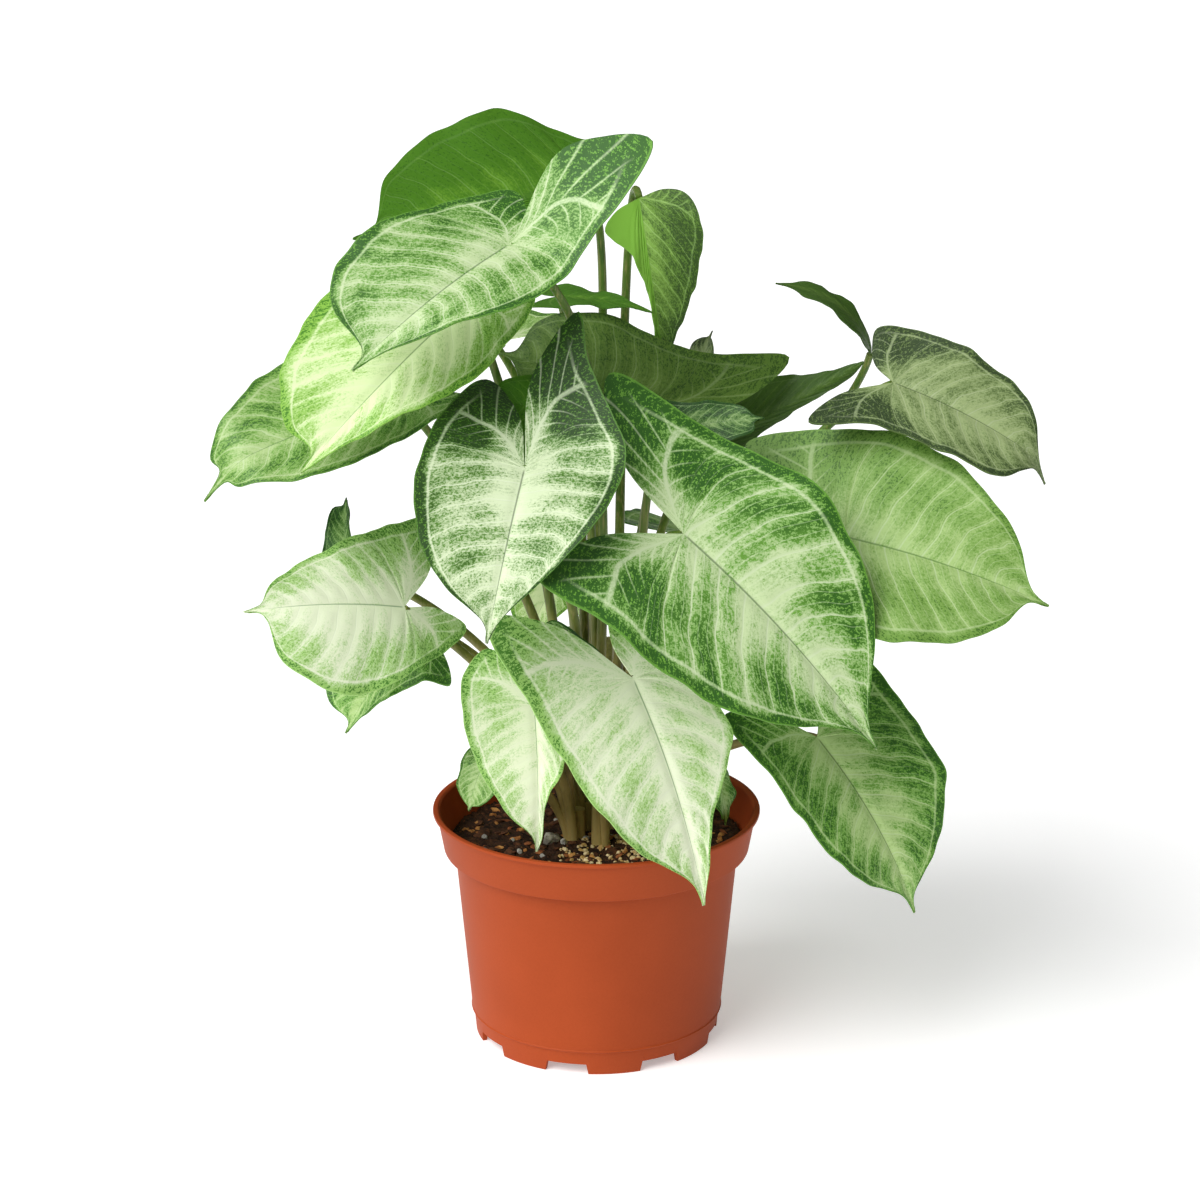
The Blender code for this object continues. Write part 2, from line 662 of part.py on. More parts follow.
def make_petiole(leaf, blade, collection):
    """A tapered tube along the petiole's path."""
    path = petiole_path(leaf, blade)
    curve = bpy.data.curves.new(leaf["name"] + "_petiole", "CURVE")
    curve.dimensions = "3D"
    curve.bevel_depth = MM
    curve.bevel_resolution = 1
    curve.use_fill_caps = True
    spline = curve.splines.new("POLY")
    spline.points.add(PETIOLE_STEPS)
    for index in range(PETIOLE_STEPS + 1):
        u = index / PETIOLE_STEPS
        spline.points[index].co = (*(curve_point(path, u) * MM), 1.0)
        radius = PETIOLE_BASE_RADIUS + (PETIOLE_TOP_RADIUS - PETIOLE_BASE_RADIUS) * u
        spline.points[index].radius = radius
    tube = bpy.data.objects.new(curve.name, curve)
    collection.objects.link(tube)
    graph = bpy.context.evaluated_depsgraph_get()
    mesh = bpy.data.meshes.new_from_object(tube.evaluated_get(graph))
    bpy.data.objects.remove(tube, do_unlink=True)
    bm = bmesh.new()
    bm.from_mesh(mesh)
    bmesh.ops.remove_doubles(bm, verts=bm.verts, dist=0.00002)
    bmesh.ops.recalc_face_normals(bm, faces=bm.faces)
    bm.to_mesh(mesh)
    bm.free()
    return add_object(leaf["name"] + "_petiole", mesh, collection)


def make_stem(name, blades, collection, mat):
    """A stem with the petioles that grow from it, joined into one body."""
    stem = cylinder(name, collection, STEMS[name], STEM_RADIUS, STEM_FOOT, STEM_TOP)
    stem.data.materials.append(mat)
    joined = new_collection(name + "_petioles", cutters=True)
    for leaf in LEAVES:
        if leaf["stem"] == name:
            make_petiole(leaf, blades[leaf["name"]], joined)
    union = stem.modifiers.new("join", "BOOLEAN")
    union.operation = "UNION"
    union.operand_type = "COLLECTION"
    union.collection = joined
    union.solver = "EXACT"
    apply_modifiers(stem)
    smooth(stem.data)
    for tube in list(joined.objects):
        bpy.data.objects.remove(tube, do_unlink=True)
    bpy.data.collections.remove(joined)
    return stem


def show_as_wires(collection):
    """Tools of the Booleans stay visible as wires and are never rendered."""
    for thing in collection.objects:
        thing.hide_render = True
        thing.display_type = "WIRE"


def main():
    clear_scene()
    plant = new_collection(ASSEMBLY)
    cutters = new_collection("cutters", cutters=True)
    terracotta = material("terracotta_plastic", (0.53, 0.11, 0.035), 0.45)
    earth = material("potting_soil", (0.035, 0.02, 0.012), 0.95)
    green = material("leaf_blade", (0.22, 0.45, 0.12), 0.45)
    olive = material("petiole_olive", (0.12, 0.14, 0.03), 0.5)
    make_pot(plant, cutters, terracotta)
    make_soil(plant, cutters, earth)
    blades = {leaf["name"]: make_blade(leaf, plant, green) for leaf in LEAVES}
    for name in STEMS:
        make_stem(name, blades, plant, olive)
    show_as_wires(cutters)


main()
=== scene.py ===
# %% [markdown]
# # An arrowhead plant in its nursery pot
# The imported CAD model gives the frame: where each blade, stem, the soil and the pot is.
# Everything that is seen is modelled again here with more detail, around that frame.

# %% The frame
import math

import bpy
import numpy as np
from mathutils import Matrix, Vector


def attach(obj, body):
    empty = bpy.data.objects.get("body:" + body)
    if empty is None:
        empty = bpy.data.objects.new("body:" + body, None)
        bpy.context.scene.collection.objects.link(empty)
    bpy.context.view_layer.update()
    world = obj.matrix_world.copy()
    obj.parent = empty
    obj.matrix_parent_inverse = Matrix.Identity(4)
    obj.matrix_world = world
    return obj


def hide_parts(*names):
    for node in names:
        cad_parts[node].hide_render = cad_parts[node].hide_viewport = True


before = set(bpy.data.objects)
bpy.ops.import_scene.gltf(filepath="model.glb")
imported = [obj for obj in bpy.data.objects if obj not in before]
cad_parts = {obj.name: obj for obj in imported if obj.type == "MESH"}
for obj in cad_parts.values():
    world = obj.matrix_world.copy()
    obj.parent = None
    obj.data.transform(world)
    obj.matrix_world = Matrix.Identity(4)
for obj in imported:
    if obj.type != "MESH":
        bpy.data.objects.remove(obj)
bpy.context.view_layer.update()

# %% [markdown]
# The sizes are those of a 6 inch nursery pot, in millimetres. Blender works in metres, so
# every length is multiplied by MM.

# %% Sizes of the pot and the soil
MM = 0.001
POT_HEIGHT = 119.5
LIP_RADIUS = 82.5
LIP_THICKNESS = 1.7
BAND_TOP_RADIUS = 80.5
BAND_FOOT_RADIUS = 77.0
BAND_FOOT_HEIGHT = 98.5
WALL_TOP_RADIUS = 71.5
SEAM_RADIUS = 63.8
SEAM_HEIGHT = 12.6
FOOT_RADIUS = 61.8
WALL = 1.6
FLOOR_BOTTOM = 4.5
FLOOR_TOP = 6.5
HUB_RADIUS = 22.0
SLOT_COUNT = 8
SLOT_FIRST_ANGLE = -104.0
SLOT_WIDTH = 25.0
SLOT_HEIGHT = 5.5
DRAIN_WIDTH = 14.0
DRAIN_INNER_RADIUS = 50.0
DRAIN_OUTER_RADIUS = 57.5
SOIL_LEVEL = 102.0
SOIL_BOTTOM = 6.8
SOIL_TOP_RADIUS = BAND_FOOT_RADIUS - WALL - 0.9
print("pot is", 2 * LIP_RADIUS, "mm wide and", POT_HEIGHT, "mm high")

# %% [markdown]
# Most of what follows adds a primitive, works on it in edit mode and applies its
# modifiers. These helpers do the parts that every piece needs: starting with nothing
# selected, applying modifiers, giving a piece its finish, and hiding the CAD nodes that
# the piece stands for.

# %% Helpers for every piece
TOUCHING = 0.02 * MM


def nothing_selected():
    """Operators act on all that is selected, so each piece starts from nothing."""
    if bpy.context.object and bpy.context.object.mode != "OBJECT":
        bpy.ops.object.mode_set(mode="OBJECT")
    bpy.ops.object.select_all(action="DESELECT")


def only(thing):
    """Make one object the only selected and the active one."""
    nothing_selected()
    thing.select_set(True)
    bpy.context.view_layer.objects.active = thing


def new_piece(name):
    """Name the primitive that an operator has just added."""
    thing = bpy.context.object
    thing.name = name
    thing.data.name = name
    return thing


def apply_all(thing):
    """Apply every modifier in turn."""
    only(thing)
    for modifier in list(thing.modifiers):
        bpy.ops.object.modifier_apply(modifier=modifier.name)


def settle(thing):
    """Put the object's place into its mesh."""
    only(thing)
    bpy.ops.object.transform_apply(location=True, rotation=True, scale=True)


def get_coordinates(thing):
    """Vertex places as an array, in millimetres."""
    flat = np.zeros(len(thing.data.vertices) * 3)
    thing.data.vertices.foreach_get("co", flat)
    return flat.reshape(-1, 3) / MM


def set_coordinates(thing, places):
    """Move the vertices to places given in millimetres."""
    thing.data.vertices.foreach_set("co", (places * MM).ravel())
    thing.data.update()


def edit_all(thing, operator, **settings):
    """Run one edit mode operator on a whole mesh."""
    only(thing)
    bpy.ops.object.mode_set(mode="EDIT")
    bpy.ops.mesh.select_all(action="SELECT")
    operator(**settings)
    bpy.ops.object.mode_set(mode="OBJECT")


def merge_doubles(thing):
    """Join vertices that lie on one another."""
    edit_all(thing, bpy.ops.mesh.remove_doubles, threshold=TOUCHING)


def face_outward(thing):
    """Recalculate the normals of a closed mesh."""
    edit_all(thing, bpy.ops.mesh.normals_make_consistent, inside=False)


def smooth_shade(thing, degrees=40):
    """Smooth shading, with edges kept where faces meet sharply."""
    only(thing)
    bpy.ops.object.shade_smooth_by_angle(angle=math.radians(degrees))


def join_pieces(name, things):
    """One object out of several."""
    nothing_selected()
    for thing in things:
        thing.select_set(True)
    bpy.context.view_layer.objects.active = things[0]
    if len(things) > 1:
        bpy.ops.object.join()
    return new_piece(name)


def give_finish(thing, *materials):
    """Put new materials in place of the old ones."""
    thing.data.materials.clear()
    for material in materials:
        thing.data.materials.append(material)


def dress(thing, slot, *nodes):
    """The piece rides on the plant and stands for its CAD nodes."""
    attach(thing, "root")
    if nodes:
        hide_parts(*nodes)


# %% [markdown]
# A finish is a tree of shader nodes. This small class adds nodes and wires them, so
# that a pattern can be written almost like a formula.

# %% Helper for shader nodes


class Pattern:
    """Nodes that are added and wired like the steps of a formula."""

    def __init__(self, tree):
        self.nodes = tree.nodes
        self.links = tree.links

    def wire(self, value, socket):
        """Set a socket to a number or link it to another node's output."""
        if isinstance(value, bpy.types.NodeSocket):
            self.links.new(value, socket)
        else:
            socket.default_value = value

    def math(self, operation, *values):
        """One step of arithmetic."""
        node = self.nodes.new("ShaderNodeMath")
        node.operation = operation
        for value, socket in zip(values, node.inputs):
            self.wire(value, socket)
        return node.outputs[0]

    def fade(self, value, low, high, start=0.0, end=1.0):
        """A smooth step from start to end while the value goes from low to high."""
        node = self.nodes.new("ShaderNodeMapRange")
        node.interpolation_type = "SMOOTHSTEP"
        for number, index in ((low, 1), (high, 2), (start, 3), (end, 4)):
            self.wire(number, node.inputs[index])
        self.wire(value, node.inputs[0])
        return node.outputs[0]

    def place(self, x, y, z):
        """A vector of three values."""
        node = self.nodes.new("ShaderNodeCombineXYZ")
        for value, socket in zip((x, y, z), node.inputs):
            self.wire(value, socket)
        return node.outputs[0]

    def split(self, vector):
        """The three values of a vector."""
        node = self.nodes.new("ShaderNodeSeparateXYZ")
        self.wire(vector, node.inputs[0])
        return node.outputs

    def chain(self, operation, values):
        """The same step of arithmetic along a list of values."""
        result = values[0]
        for value in values[1:]:
            result = self.math(operation, result, value)
        return result

    def total(self, *values):
        """The sum of several values."""
        return self.chain("ADD", values)

    def times(self, *values):
        """The product of several values."""
        return self.chain("MULTIPLY", values)

    def most(self, *values):
        """The largest of several values."""
        return self.chain("MAXIMUM", values)

    def less(self, first, second):
        """The first value less the second."""
        return self.math("SUBTRACT", first, second)

    def gap(self, first, second):
        """How far apart two values are."""
        return self.math("ABSOLUTE", self.less(first, second))

    def off_line(self, value):
        """Zero halfway between two whole numbers, rising to one at each of them."""
        return self.times(self.gap(self.math("FRACT", value), 0.5), 2.0)

    def coordinate(self, kind):
        """Object or UV coordinates."""
        return self.nodes.new("ShaderNodeTexCoord").outputs[kind]

    def noise(self, vector, scale, detail=2.0, roughness=0.5):
        """Soft noise around one half."""
        node = self.nodes.new("ShaderNodeTexNoise")
        self.wire(vector, node.inputs["Vector"])
        node.inputs["Scale"].default_value = scale
        node.inputs["Detail"].default_value = detail
        node.inputs["Roughness"].default_value = roughness
        return node.outputs["Fac"]

    def mix(self, share, first, second):
        """A colour between two colours."""
        node = self.nodes.new("ShaderNodeMix")
        node.data_type = "RGBA"
        self.wire(share, node.inputs["Factor"])
        ends = [socket for socket in node.inputs if socket.type == "RGBA"]
        for value, socket in zip((first, second), ends):
            self.wire(value, socket)
        return [socket for socket in node.outputs if socket.type == "RGBA"][0]


class Finish(Pattern):
    """A material with its pattern and its Principled shader."""

    def __init__(self, name, roughness, specular=0.5):
        self.material = bpy.data.materials.new(name)
        self.material.use_nodes = True
        super().__init__(self.material.node_tree)
        self.shader = self.nodes["Principled BSDF"]
        self.shader.inputs["Roughness"].default_value = roughness
        self.shader.inputs["Specular IOR Level"].default_value = specular

    def bump(self, height, strength, distance):
        """Fine relief that only the light sees."""
        node = self.nodes.new("ShaderNodeBump")
        node.inputs["Strength"].default_value = strength
        node.inputs["Distance"].default_value = distance
        self.wire(height, node.inputs["Height"])
        self.wire(node.outputs[0], self.shader.inputs["Normal"])

    def colour(self, value):
        """The surface's colour."""
        self.wire(value, self.shader.inputs["Base Color"])


def rgb(red, green, blue):
    """A screen colour from 0 to 255 as the linear colour that Blender works in."""
    shares = [value / 255 for value in (red, green, blue)]
    linear = [s / 12.92 if s <= 0.04045 else ((s + 0.055) / 1.055) ** 2.4 for s in shares]
    return (*linear, 1.0)


# %% [markdown]
# ## The pot
# The real pot is moulded in one piece of plastic. Turning a profile about the axis
# gives the lip, the band and the tapered wall with their small rounded edges. Its
# finish is an almost matte orange brown with a very fine grain from the mould.

# %% The pot's finish


def pot_finish():
    """Orange brown with faint clouds and a fine grain."""
    finish = Finish("terracotta plastic", roughness=0.55, specular=0.12)
    here = finish.coordinate("Object")
    cloud = finish.noise(here, 22.0, 3.0)
    dust = finish.noise(here, 900.0, 2.0, 0.6)
    shade = finish.total(finish.fade(cloud, 0.3, 0.7, 0.0, 0.5),
                         finish.fade(dust, 0.35, 0.75, 0.0, 0.3))
    finish.colour(finish.mix(shade, rgb(168, 72, 33), rgb(156, 65, 28)))
    grain = finish.noise(here, 1500.0, 2.0, 0.6)
    finish.bump(grain, 0.06, 0.0003)
    return finish.material


terracotta = pot_finish()
print("pot finish:", len(terracotta.node_tree.nodes), "nodes")

# %% The pot's turned shape
POT_STEPS = 192


def rounded(corner, before, after, radius):
    """Three points that round a corner of the profile."""
    c, b, a = (Vector(p) for p in (corner, before, after))
    back = c + (b - c).normalized() * radius
    on = c + (a - c).normalized() * radius
    return [tuple(back), tuple(0.25 * back + 0.5 * c + 0.25 * on), tuple(on)]


def round_all(points, radii):
    """Round each inner corner by its radius; zero leaves it sharp."""
    line = [points[0]]
    for before, corner, after, radius in zip(points, points[1:], points[2:], radii[1:]):
        line += rounded(corner, before, after, radius) if radius else [corner]
    return line + [points[-1]]


def pot_profile():
    """Corners from the middle of the inner floor over the lip to the hub."""
    corners = [
        (0.0, FLOOR_TOP, 0),
        (FOOT_RADIUS - WALL, FLOOR_TOP, 0.8),
        (SEAM_RADIUS - WALL, SEAM_HEIGHT, 0),
        (WALL_TOP_RADIUS - WALL, BAND_FOOT_HEIGHT - 0.6, 0.6),
        (BAND_FOOT_RADIUS - WALL - 0.6, BAND_FOOT_HEIGHT + 1.6, 0.6),
        (BAND_TOP_RADIUS - WALL, POT_HEIGHT - 1.0, 0.3),
        (LIP_RADIUS - 2.4, POT_HEIGHT, 0.3),
        (LIP_RADIUS, POT_HEIGHT, 0.6),
        (LIP_RADIUS, POT_HEIGHT - LIP_THICKNESS, 0.5),
        (BAND_TOP_RADIUS, POT_HEIGHT - LIP_THICKNESS - 0.3, 0.3),
        (BAND_FOOT_RADIUS, BAND_FOOT_HEIGHT, 0.9),
        (WALL_TOP_RADIUS, BAND_FOOT_HEIGHT - 1.2, 0.7),
        (SEAM_RADIUS, SEAM_HEIGHT + 1.0, 0),
        (SEAM_RADIUS + 0.45, SEAM_HEIGHT + 0.3, 0.2),
        (SEAM_RADIUS - 0.9, SEAM_HEIGHT - 0.7, 0.25),
        (FOOT_RADIUS, 0.0, 0.4),
        (FOOT_RADIUS - 2.4, 0.0, 0.3),
        (FOOT_RADIUS - 2.2, FLOOR_BOTTOM, 0.3),
        (HUB_RADIUS + 1.5, FLOOR_BOTTOM, 0.4),
        (HUB_RADIUS, 0.0, 0.4),
        (0.0, 0.0, 0),
    ]
    return round_all([c[:2] for c in corners], [c[2] for c in corners])


def turned(name, profile, steps):
    """Turn a profile about the upright axis."""
    nothing_selected()
    bpy.ops.mesh.primitive_circle_add(vertices=len(profile), radius=1.0)
    thing = new_piece(name)
    places = np.array([(r, 0.0, z) for r, z in profile])
    set_coordinates(thing, places)
    bpy.ops.object.mode_set(mode="EDIT")
    bpy.ops.mesh.select_all(action="DESELECT")
    bpy.ops.object.mode_set(mode="OBJECT")
    for edge in thing.data.edges:
        edge.select = all(places[i][0] == 0.0 for i in edge.vertices)
    bpy.ops.object.mode_set(mode="EDIT")
    bpy.ops.mesh.select_mode(type="EDGE")
    bpy.ops.mesh.delete(type="EDGE_FACE")
    bpy.ops.mesh.select_mode(type="VERT")
    bpy.ops.object.mode_set(mode="OBJECT")
    screw = thing.modifiers.new("turn", "SCREW")
    screw.steps = screw.render_steps = steps
    screw.use_merge_vertices = True
    screw.merge_threshold = TOUCHING
    apply_all(thing)
    face_outward(thing)
    return thing


pot = turned("nursery_pot", pot_profile(), POT_STEPS)
print("pot faces", len(pot.data.polygons))

# %% [markdown]
# Eight shallow slots let water out of the foot, and behind each a drain opening goes
# through the floor. A cube is squeezed to each slot's tapered shape and cut away.

# %% Slots and drain openings


def block(name, low, high, turn):
    """A cube whose lower and upper ring of corners are given."""
    nothing_selected()
    bpy.ops.mesh.primitive_cube_add(size=2.0)
    thing = new_piece(name)
    places = get_coordinates(thing) * MM
    for row in places:
        inner, outer, half_in, half_out, z = low if row[2] < 0 else high
        half = half_in if row[0] < 0 else half_out
        row[:] = (inner if row[0] < 0 else outer, math.copysign(half, row[1]), z)
    set_coordinates(thing, places)
    thing.rotation_euler.z = turn
    settle(thing)
    return thing


def cut_away(thing, tool):
    """Take the tool's shape out of a piece."""
    cut = thing.modifiers.new("cut", "BOOLEAN")
    cut.operation = "DIFFERENCE"
    cut.solver = "EXACT"
    cut.object = tool
    apply_all(thing)
    bpy.data.objects.remove(tool, do_unlink=True)


SLOT_TAPER = 1.5
SLOT_BELOW = -2.0
for index in range(SLOT_COUNT):
    angle = math.radians(SLOT_FIRST_ANGLE + index * 360.0 / SLOT_COUNT)
    half = SLOT_WIDTH / 2
    reach = (DRAIN_OUTER_RADIUS, FOOT_RADIUS + 6)
    cut_away(pot, block("slot", (*reach, half - SLOT_TAPER, half, SLOT_BELOW),
                        (*reach, half - 2 * SLOT_TAPER, half - SLOT_TAPER, SLOT_HEIGHT), angle))
    half = DRAIN_WIDTH / 2
    reach = (DRAIN_INNER_RADIUS, DRAIN_OUTER_RADIUS + 0.5)
    cut_away(pot, block("drain", (*reach, half, half, 1.0),
                        (*reach, half, half, FLOOR_TOP + 2.0), angle))
give_finish(pot, terracotta)
smooth_shade(pot, 30)
dress(pot, "pot", "pot")
print("pot with slots", len(pot.data.polygons))

# %% [markdown]
# ## The leaves
# Each blade is an arrowhead: two half outlines run from the sinus round a lobe and along
# the margin to the leaf's tip, and the petiole meets the blade at the sinus between the
# lobes. at is the sinus, heading, pitch and roll turn the midrib, and left and right are
# the points of the two margins, with right missing where both are alike. arch, fold, lifts
# and hook bend the blade. The places and outlines were read from the photograph with a
# camera fitted to the pot, in whole millimetres, and some were then adjusted. Depth,
# roll and bending were judged. The photograph doesn't show the three rear leaves,
# so they are made up.

# %% Where the leaves are and how they are shaped
FAN_SHARE = 0.34
TIP_BACK = 0.09
TIP_HALF_WIDTH = 0.030
EAR = 0.14
EDGE_WAVE = 1.2
HOOK_START = 0.75
FOLD = 0.10
NO_LIFTS = (0, 0)
STEMS = {
    "stem_left": (-9, -6),
    "stem_front": (3, -10),
    "stem_right": (14, -5),
    "stem_back_left": (-3, 5),
    "stem_back_right": (9, 7),
}
LEAVES = (
    dict(name="leaf_top_front", at=(-40, -60, 417), heading=216, pitch=-29, roll=-35, length=98,
         left=((-69, 23), (-32, 28), (18, 32), (63, 14)),
         right=((-24, 20), (11, 36), (56, 45), (83, 31)),
         arch=6, lifts=(30, 5), ears=(0.36, 0.2), bend=(38, -8, -20),
         stem="stem_front"),
    dict(name="leaf_upper_left", at=(-60, -30, 385), heading=217, pitch=-36, roll=-40, length=118,
         left=((-22, 22), (-10, 27), (34, 31), (82, 13)),
         right=((0, 47), (48, 48), (87, 39), (106, 20)),
         arch=6, lifts=(5, 0), bend=(0, -45, -30), stem="stem_left"),
    dict(name="leaf_far_left", at=(-94, -15, 333), heading=206, pitch=-15, roll=-40, length=104,
         left=((-33, 8), (-1, 19), (48, 27), (90, 12)),
         right=((-20, 44), (16, 44), (64, 33), (95, 13)),
         arch=6, fold=0.05, hook=20, stem="stem_back_left"),
    dict(name="leaf_centre", at=(-33, -85, 317), heading=247, pitch=-59, roll=-20, length=84,
         left=((-80, 9), (-58, 18), (-13, 45), (29, 34)),
         right=((-46, 29), (-11, 46), (34, 44), (61, 27)),
         arch=8, lifts=(10, -12), stem="stem_front"),
    dict(name="leaf_big_right", at=(41, -75, 283), heading=345, pitch=-46, roll=40, length=136,
         left=((-79, 30), (-24, 49), (29, 64), (84, 45)),
         right=((-31, 72), (1, 67), (40, 63), (80, 48)),
         arch=8, lifts=(10, 0), stem="stem_right"),
    dict(name="leaf_front_low", at=(18, -64, 208), heading=313, pitch=-64, roll=15, length=113,
         left=((-35, 2), (-13, 22), (39, 35), (73, 15)),
         right=((-47, 61), (-11, 60), (30, 52), (72, 35)),
         arch=8, lifts=(10, 0), stem="stem_front"),
    dict(name="leaf_front_small", at=(-30, -45, 188), heading=274, pitch=-74, roll=-10, length=71,
         left=((-6, 14), (6, 19), (29, 13), (47, 4)),
         right=((-28, 22), (-14, 35), (17, 34), (50, 17)),
         arch=5, stem="stem_left"),
    dict(name="leaf_right", at=(120, -30, 269), heading=348, pitch=-16, roll=45, length=103,
         left=((-62, 37), (-31, 52), (21, 58), (76, 28)),
         right=((-24, 38), (8, 53), (50, 47), (82, 26)),
         arch=6, stem="stem_right"),
    dict(name="leaf_back_right", at=(145, 10, 336), heading=346, pitch=-26, roll=40, length=89,
         left=((-18, 15), (-20, 27), (11, 33), (61, 24)),
         right=((-26, 42), (4, 29), (36, 28), (68, 22)),
         arch=6, hook=14, stem="stem_back_right"),
    dict(name="leaf_twisted", at=(139, 64, 339), heading=192, pitch=37, roll=-30, length=63,
         left=((3, 4), (10, 8), (30, 9), (50, 6)),
         right=((3, 4), (10, 7), (30, 8), (50, 5)),
         arch=11, fold=0.0, stem="stem_back_right"),
    dict(name="leaf_dark_under", at=(60, 58, 293), heading=351, pitch=31, roll=-105, length=87,
         left=((-13, 10), (8, 9), (34, 5), (65, 4)),
         right=((0, 17), (18, 20), (39, 17), (65, 6)),
         arch=4, stem="stem_back_right"),
    dict(name="leaf_behind_centre", at=(24, 5, 323), heading=174, pitch=21, roll=-50, length=77,
         left=((-5, 14), (15, 18), (34, 22), (60, 14)),
         right=((-57, 64), (-10, 40), (38, 36), (65, 21)),
         arch=6, fold=0.05, stem="stem_back_left"),
    dict(name="leaf_small_dark", at=(33, -12, 317), heading=350, pitch=10, roll=60, length=49,
         left=((-6, 16), (11, 12), (27, 10), (40, 6)),
         right=((-6, 15), (17, 14), (37, 9), (44, 6)),
         arch=3, stem="stem_right"),
    dict(name="leaf_top_back", at=(-5, 28, 428), heading=197, pitch=-9, roll=-70, length=117,
         left=((12, 14), (35, 6), (73, 2), (103, 2)),
         right=((-34, 18), (-3, 24), (38, 45), (94, 27)),
         arch=6, stem="stem_back_left"),
    dict(name="leaf_top_folded", at=(21, 42, 421), heading=332, pitch=-80, roll=60, length=88,
         left=((1, 23), (19, 28), (51, 18), (69, 8)),
         right=((13, 19), (25, 9), (40, 4), (63, 2)),
         arch=5, fold=0.20, stem="stem_back_right"),
    dict(name="leaf_thin", at=(-18, 34, 374), heading=348, pitch=-7, roll=15, length=47,
         left=((-14, 6), (-3, 10), (18, 7), (34, 4)),
         right=((-11, 15), (3, 14), (22, 9), (35, 4)),
         arch=2, bend=(40, 35, 0), stem="stem_back_left"),
    dict(name="leaf_grey_tip", at=(50, 42, 322), heading=27, pitch=76, roll=0, length=33,
         left=((-4, 14), (9, 14), (22, 11), (28, 6)),
         right=((-4, 13), (11, 12), (23, 9), (29, 5)),
         arch=2, stem="stem_back_right"),
    dict(name="leaf_curled", at=(-123, -10, 242), heading=84, pitch=83, roll=0, length=40,
         left=((-5, 9), (10, 11), (25, 9), (35, 6)),
         right=((-5, 8), (11, 8), (22, 3), (34, 2)),
         arch=3, bend=(15, 40, 10), stem="stem_back_left"),
    dict(name="leaf_left_low", at=(-92, -45, 238), heading=209, pitch=7, roll=-50, length=83,
         left=((-36, 7), (-7, 29), (44, 49), (71, 31)),
         right=((-26, 48), (-3, 43), (35, 29), (69, 12)),
         arch=6, bend=(14, -14, 5), stem="stem_left"),
    dict(name="leaf_left_behind", at=(-89, -20, 220), heading=217, pitch=-48, roll=-30, length=62,
         left=((17, 35), (21, 23), (39, 10), (53, 3)),
         right=((-8, 22), (8, 28), (37, 27), (53, 15)),
         arch=4, stem="stem_back_left"),
    dict(name="leaf_gap", at=(-10, -35, 325), heading=187, pitch=21, roll=-60, length=44,
         left=((-16, 20), (1, 30), (22, 28), (38, 14)),
         right=((-3, 14), (14, 19), (31, 14), (41, 7)),
         arch=3, stem="stem_front"),
    dict(name="leaf_low_right", at=(108, -40, 170), heading=338, pitch=-58, roll=30, length=99,
         left=((-24, 47), (9, 50), (50, 46), (77, 25)),
         right=((-33, 37), (-6, 38), (24, 38), (62, 30)),
         arch=8, stem="stem_right"),
    dict(name="leaf_pot_right", at=(60, -14, 140), heading=325, pitch=-76, roll=0, length=25,
         left=((-6, 6), (1, 9), (12, 8), (19, 3)),
         right=((-3, 8), (5, 9), (16, 7), (21, 4)),
         arch=2, stem="stem_right"),
    dict(name="leaf_pot_left", at=(-55, -25, 153), heading=220, pitch=-66, roll=-20, length=27,
         left=((-7, 5), (4, 14), (14, 12), (22, 7)),
         right=((-3, 10), (6, 11), (16, 9), (22, 5)),
         arch=2, stem="stem_left"),
    dict(name="leaf_dark_low", at=(-3, -33, 195), heading=187, pitch=52, roll=-60, length=43,
         left=((-6, 12), (8, 15), (25, 14), (36, 7)),
         right=((-4, 11), (8, 13), (25, 10), (37, 6)),
         arch=3, stem="stem_front"),
    dict(name="leaf_pale_left", at=(-15, 60, 231), heading=196, pitch=-62, roll=-50, length=46,
         left=((-4, 13), (12, 16), (26, 11), (39, 4)),
         right=((-2, 18), (16, 22), (31, 18), (42, 8)),
         arch=3, stem="stem_back_left"),
    dict(name="leaf_pale_right", at=(7, 48, 235), heading=194, pitch=-62, roll=-50, length=36,
         left=((-3, 17), (13, 19), (25, 14), (32, 7)),
         right=((0, 15), (14, 18), (27, 14), (33, 8)),
         arch=3, stem="stem_back_right"),
    dict(name="leaf_rear_left", at=(-52, 64, 345), heading=128, pitch=-22, roll=-10, length=95,
         left=((-34, 27), (-8, 37), (28, 37), (68, 20)),
         arch=7, lifts=(5, 5), stem="stem_back_left"),
    dict(name="leaf_rear_right", at=(52, 98, 235), heading=75, pitch=-25, roll=5, length=105,
         left=((-38, 30), (-9, 41), (31, 41), (75, 22)),
         arch=8, lifts=(5, 5), stem="stem_back_right"),
    dict(name="leaf_rear_low", at=(6, 98, 178), heading=98, pitch=-38, roll=0, length=85,
         left=((-30, 24), (-7, 33), (25, 33), (61, 18)),
         arch=7, lifts=(5, 5), stem="stem_back_left"),
)
print("leaves", len(LEAVES))

# %% [markdown]
# The outline is a smooth curve through a few points, so the margin has no corners. A
# centripetal curve is used because it doesn't loop where two points are close together.

# %% The outline of half a blade
OUTLINE_STEPS = 24


def leaf_axes(leaf):
    """Directions along the midrib, to the leaf's left, and out of its upper face."""
    heading, pitch, roll = (math.radians(leaf[key]) for key in ("heading", "pitch", "roll"))
    along = Vector((math.cos(heading) * math.cos(pitch), math.sin(heading) * math.cos(pitch),
                    math.sin(pitch)))
    level = Vector((-math.sin(heading), math.cos(heading), 0.0))
    above = along.cross(level)
    left = math.cos(roll) * level + math.sin(roll) * above
    return along, left, along.cross(left)


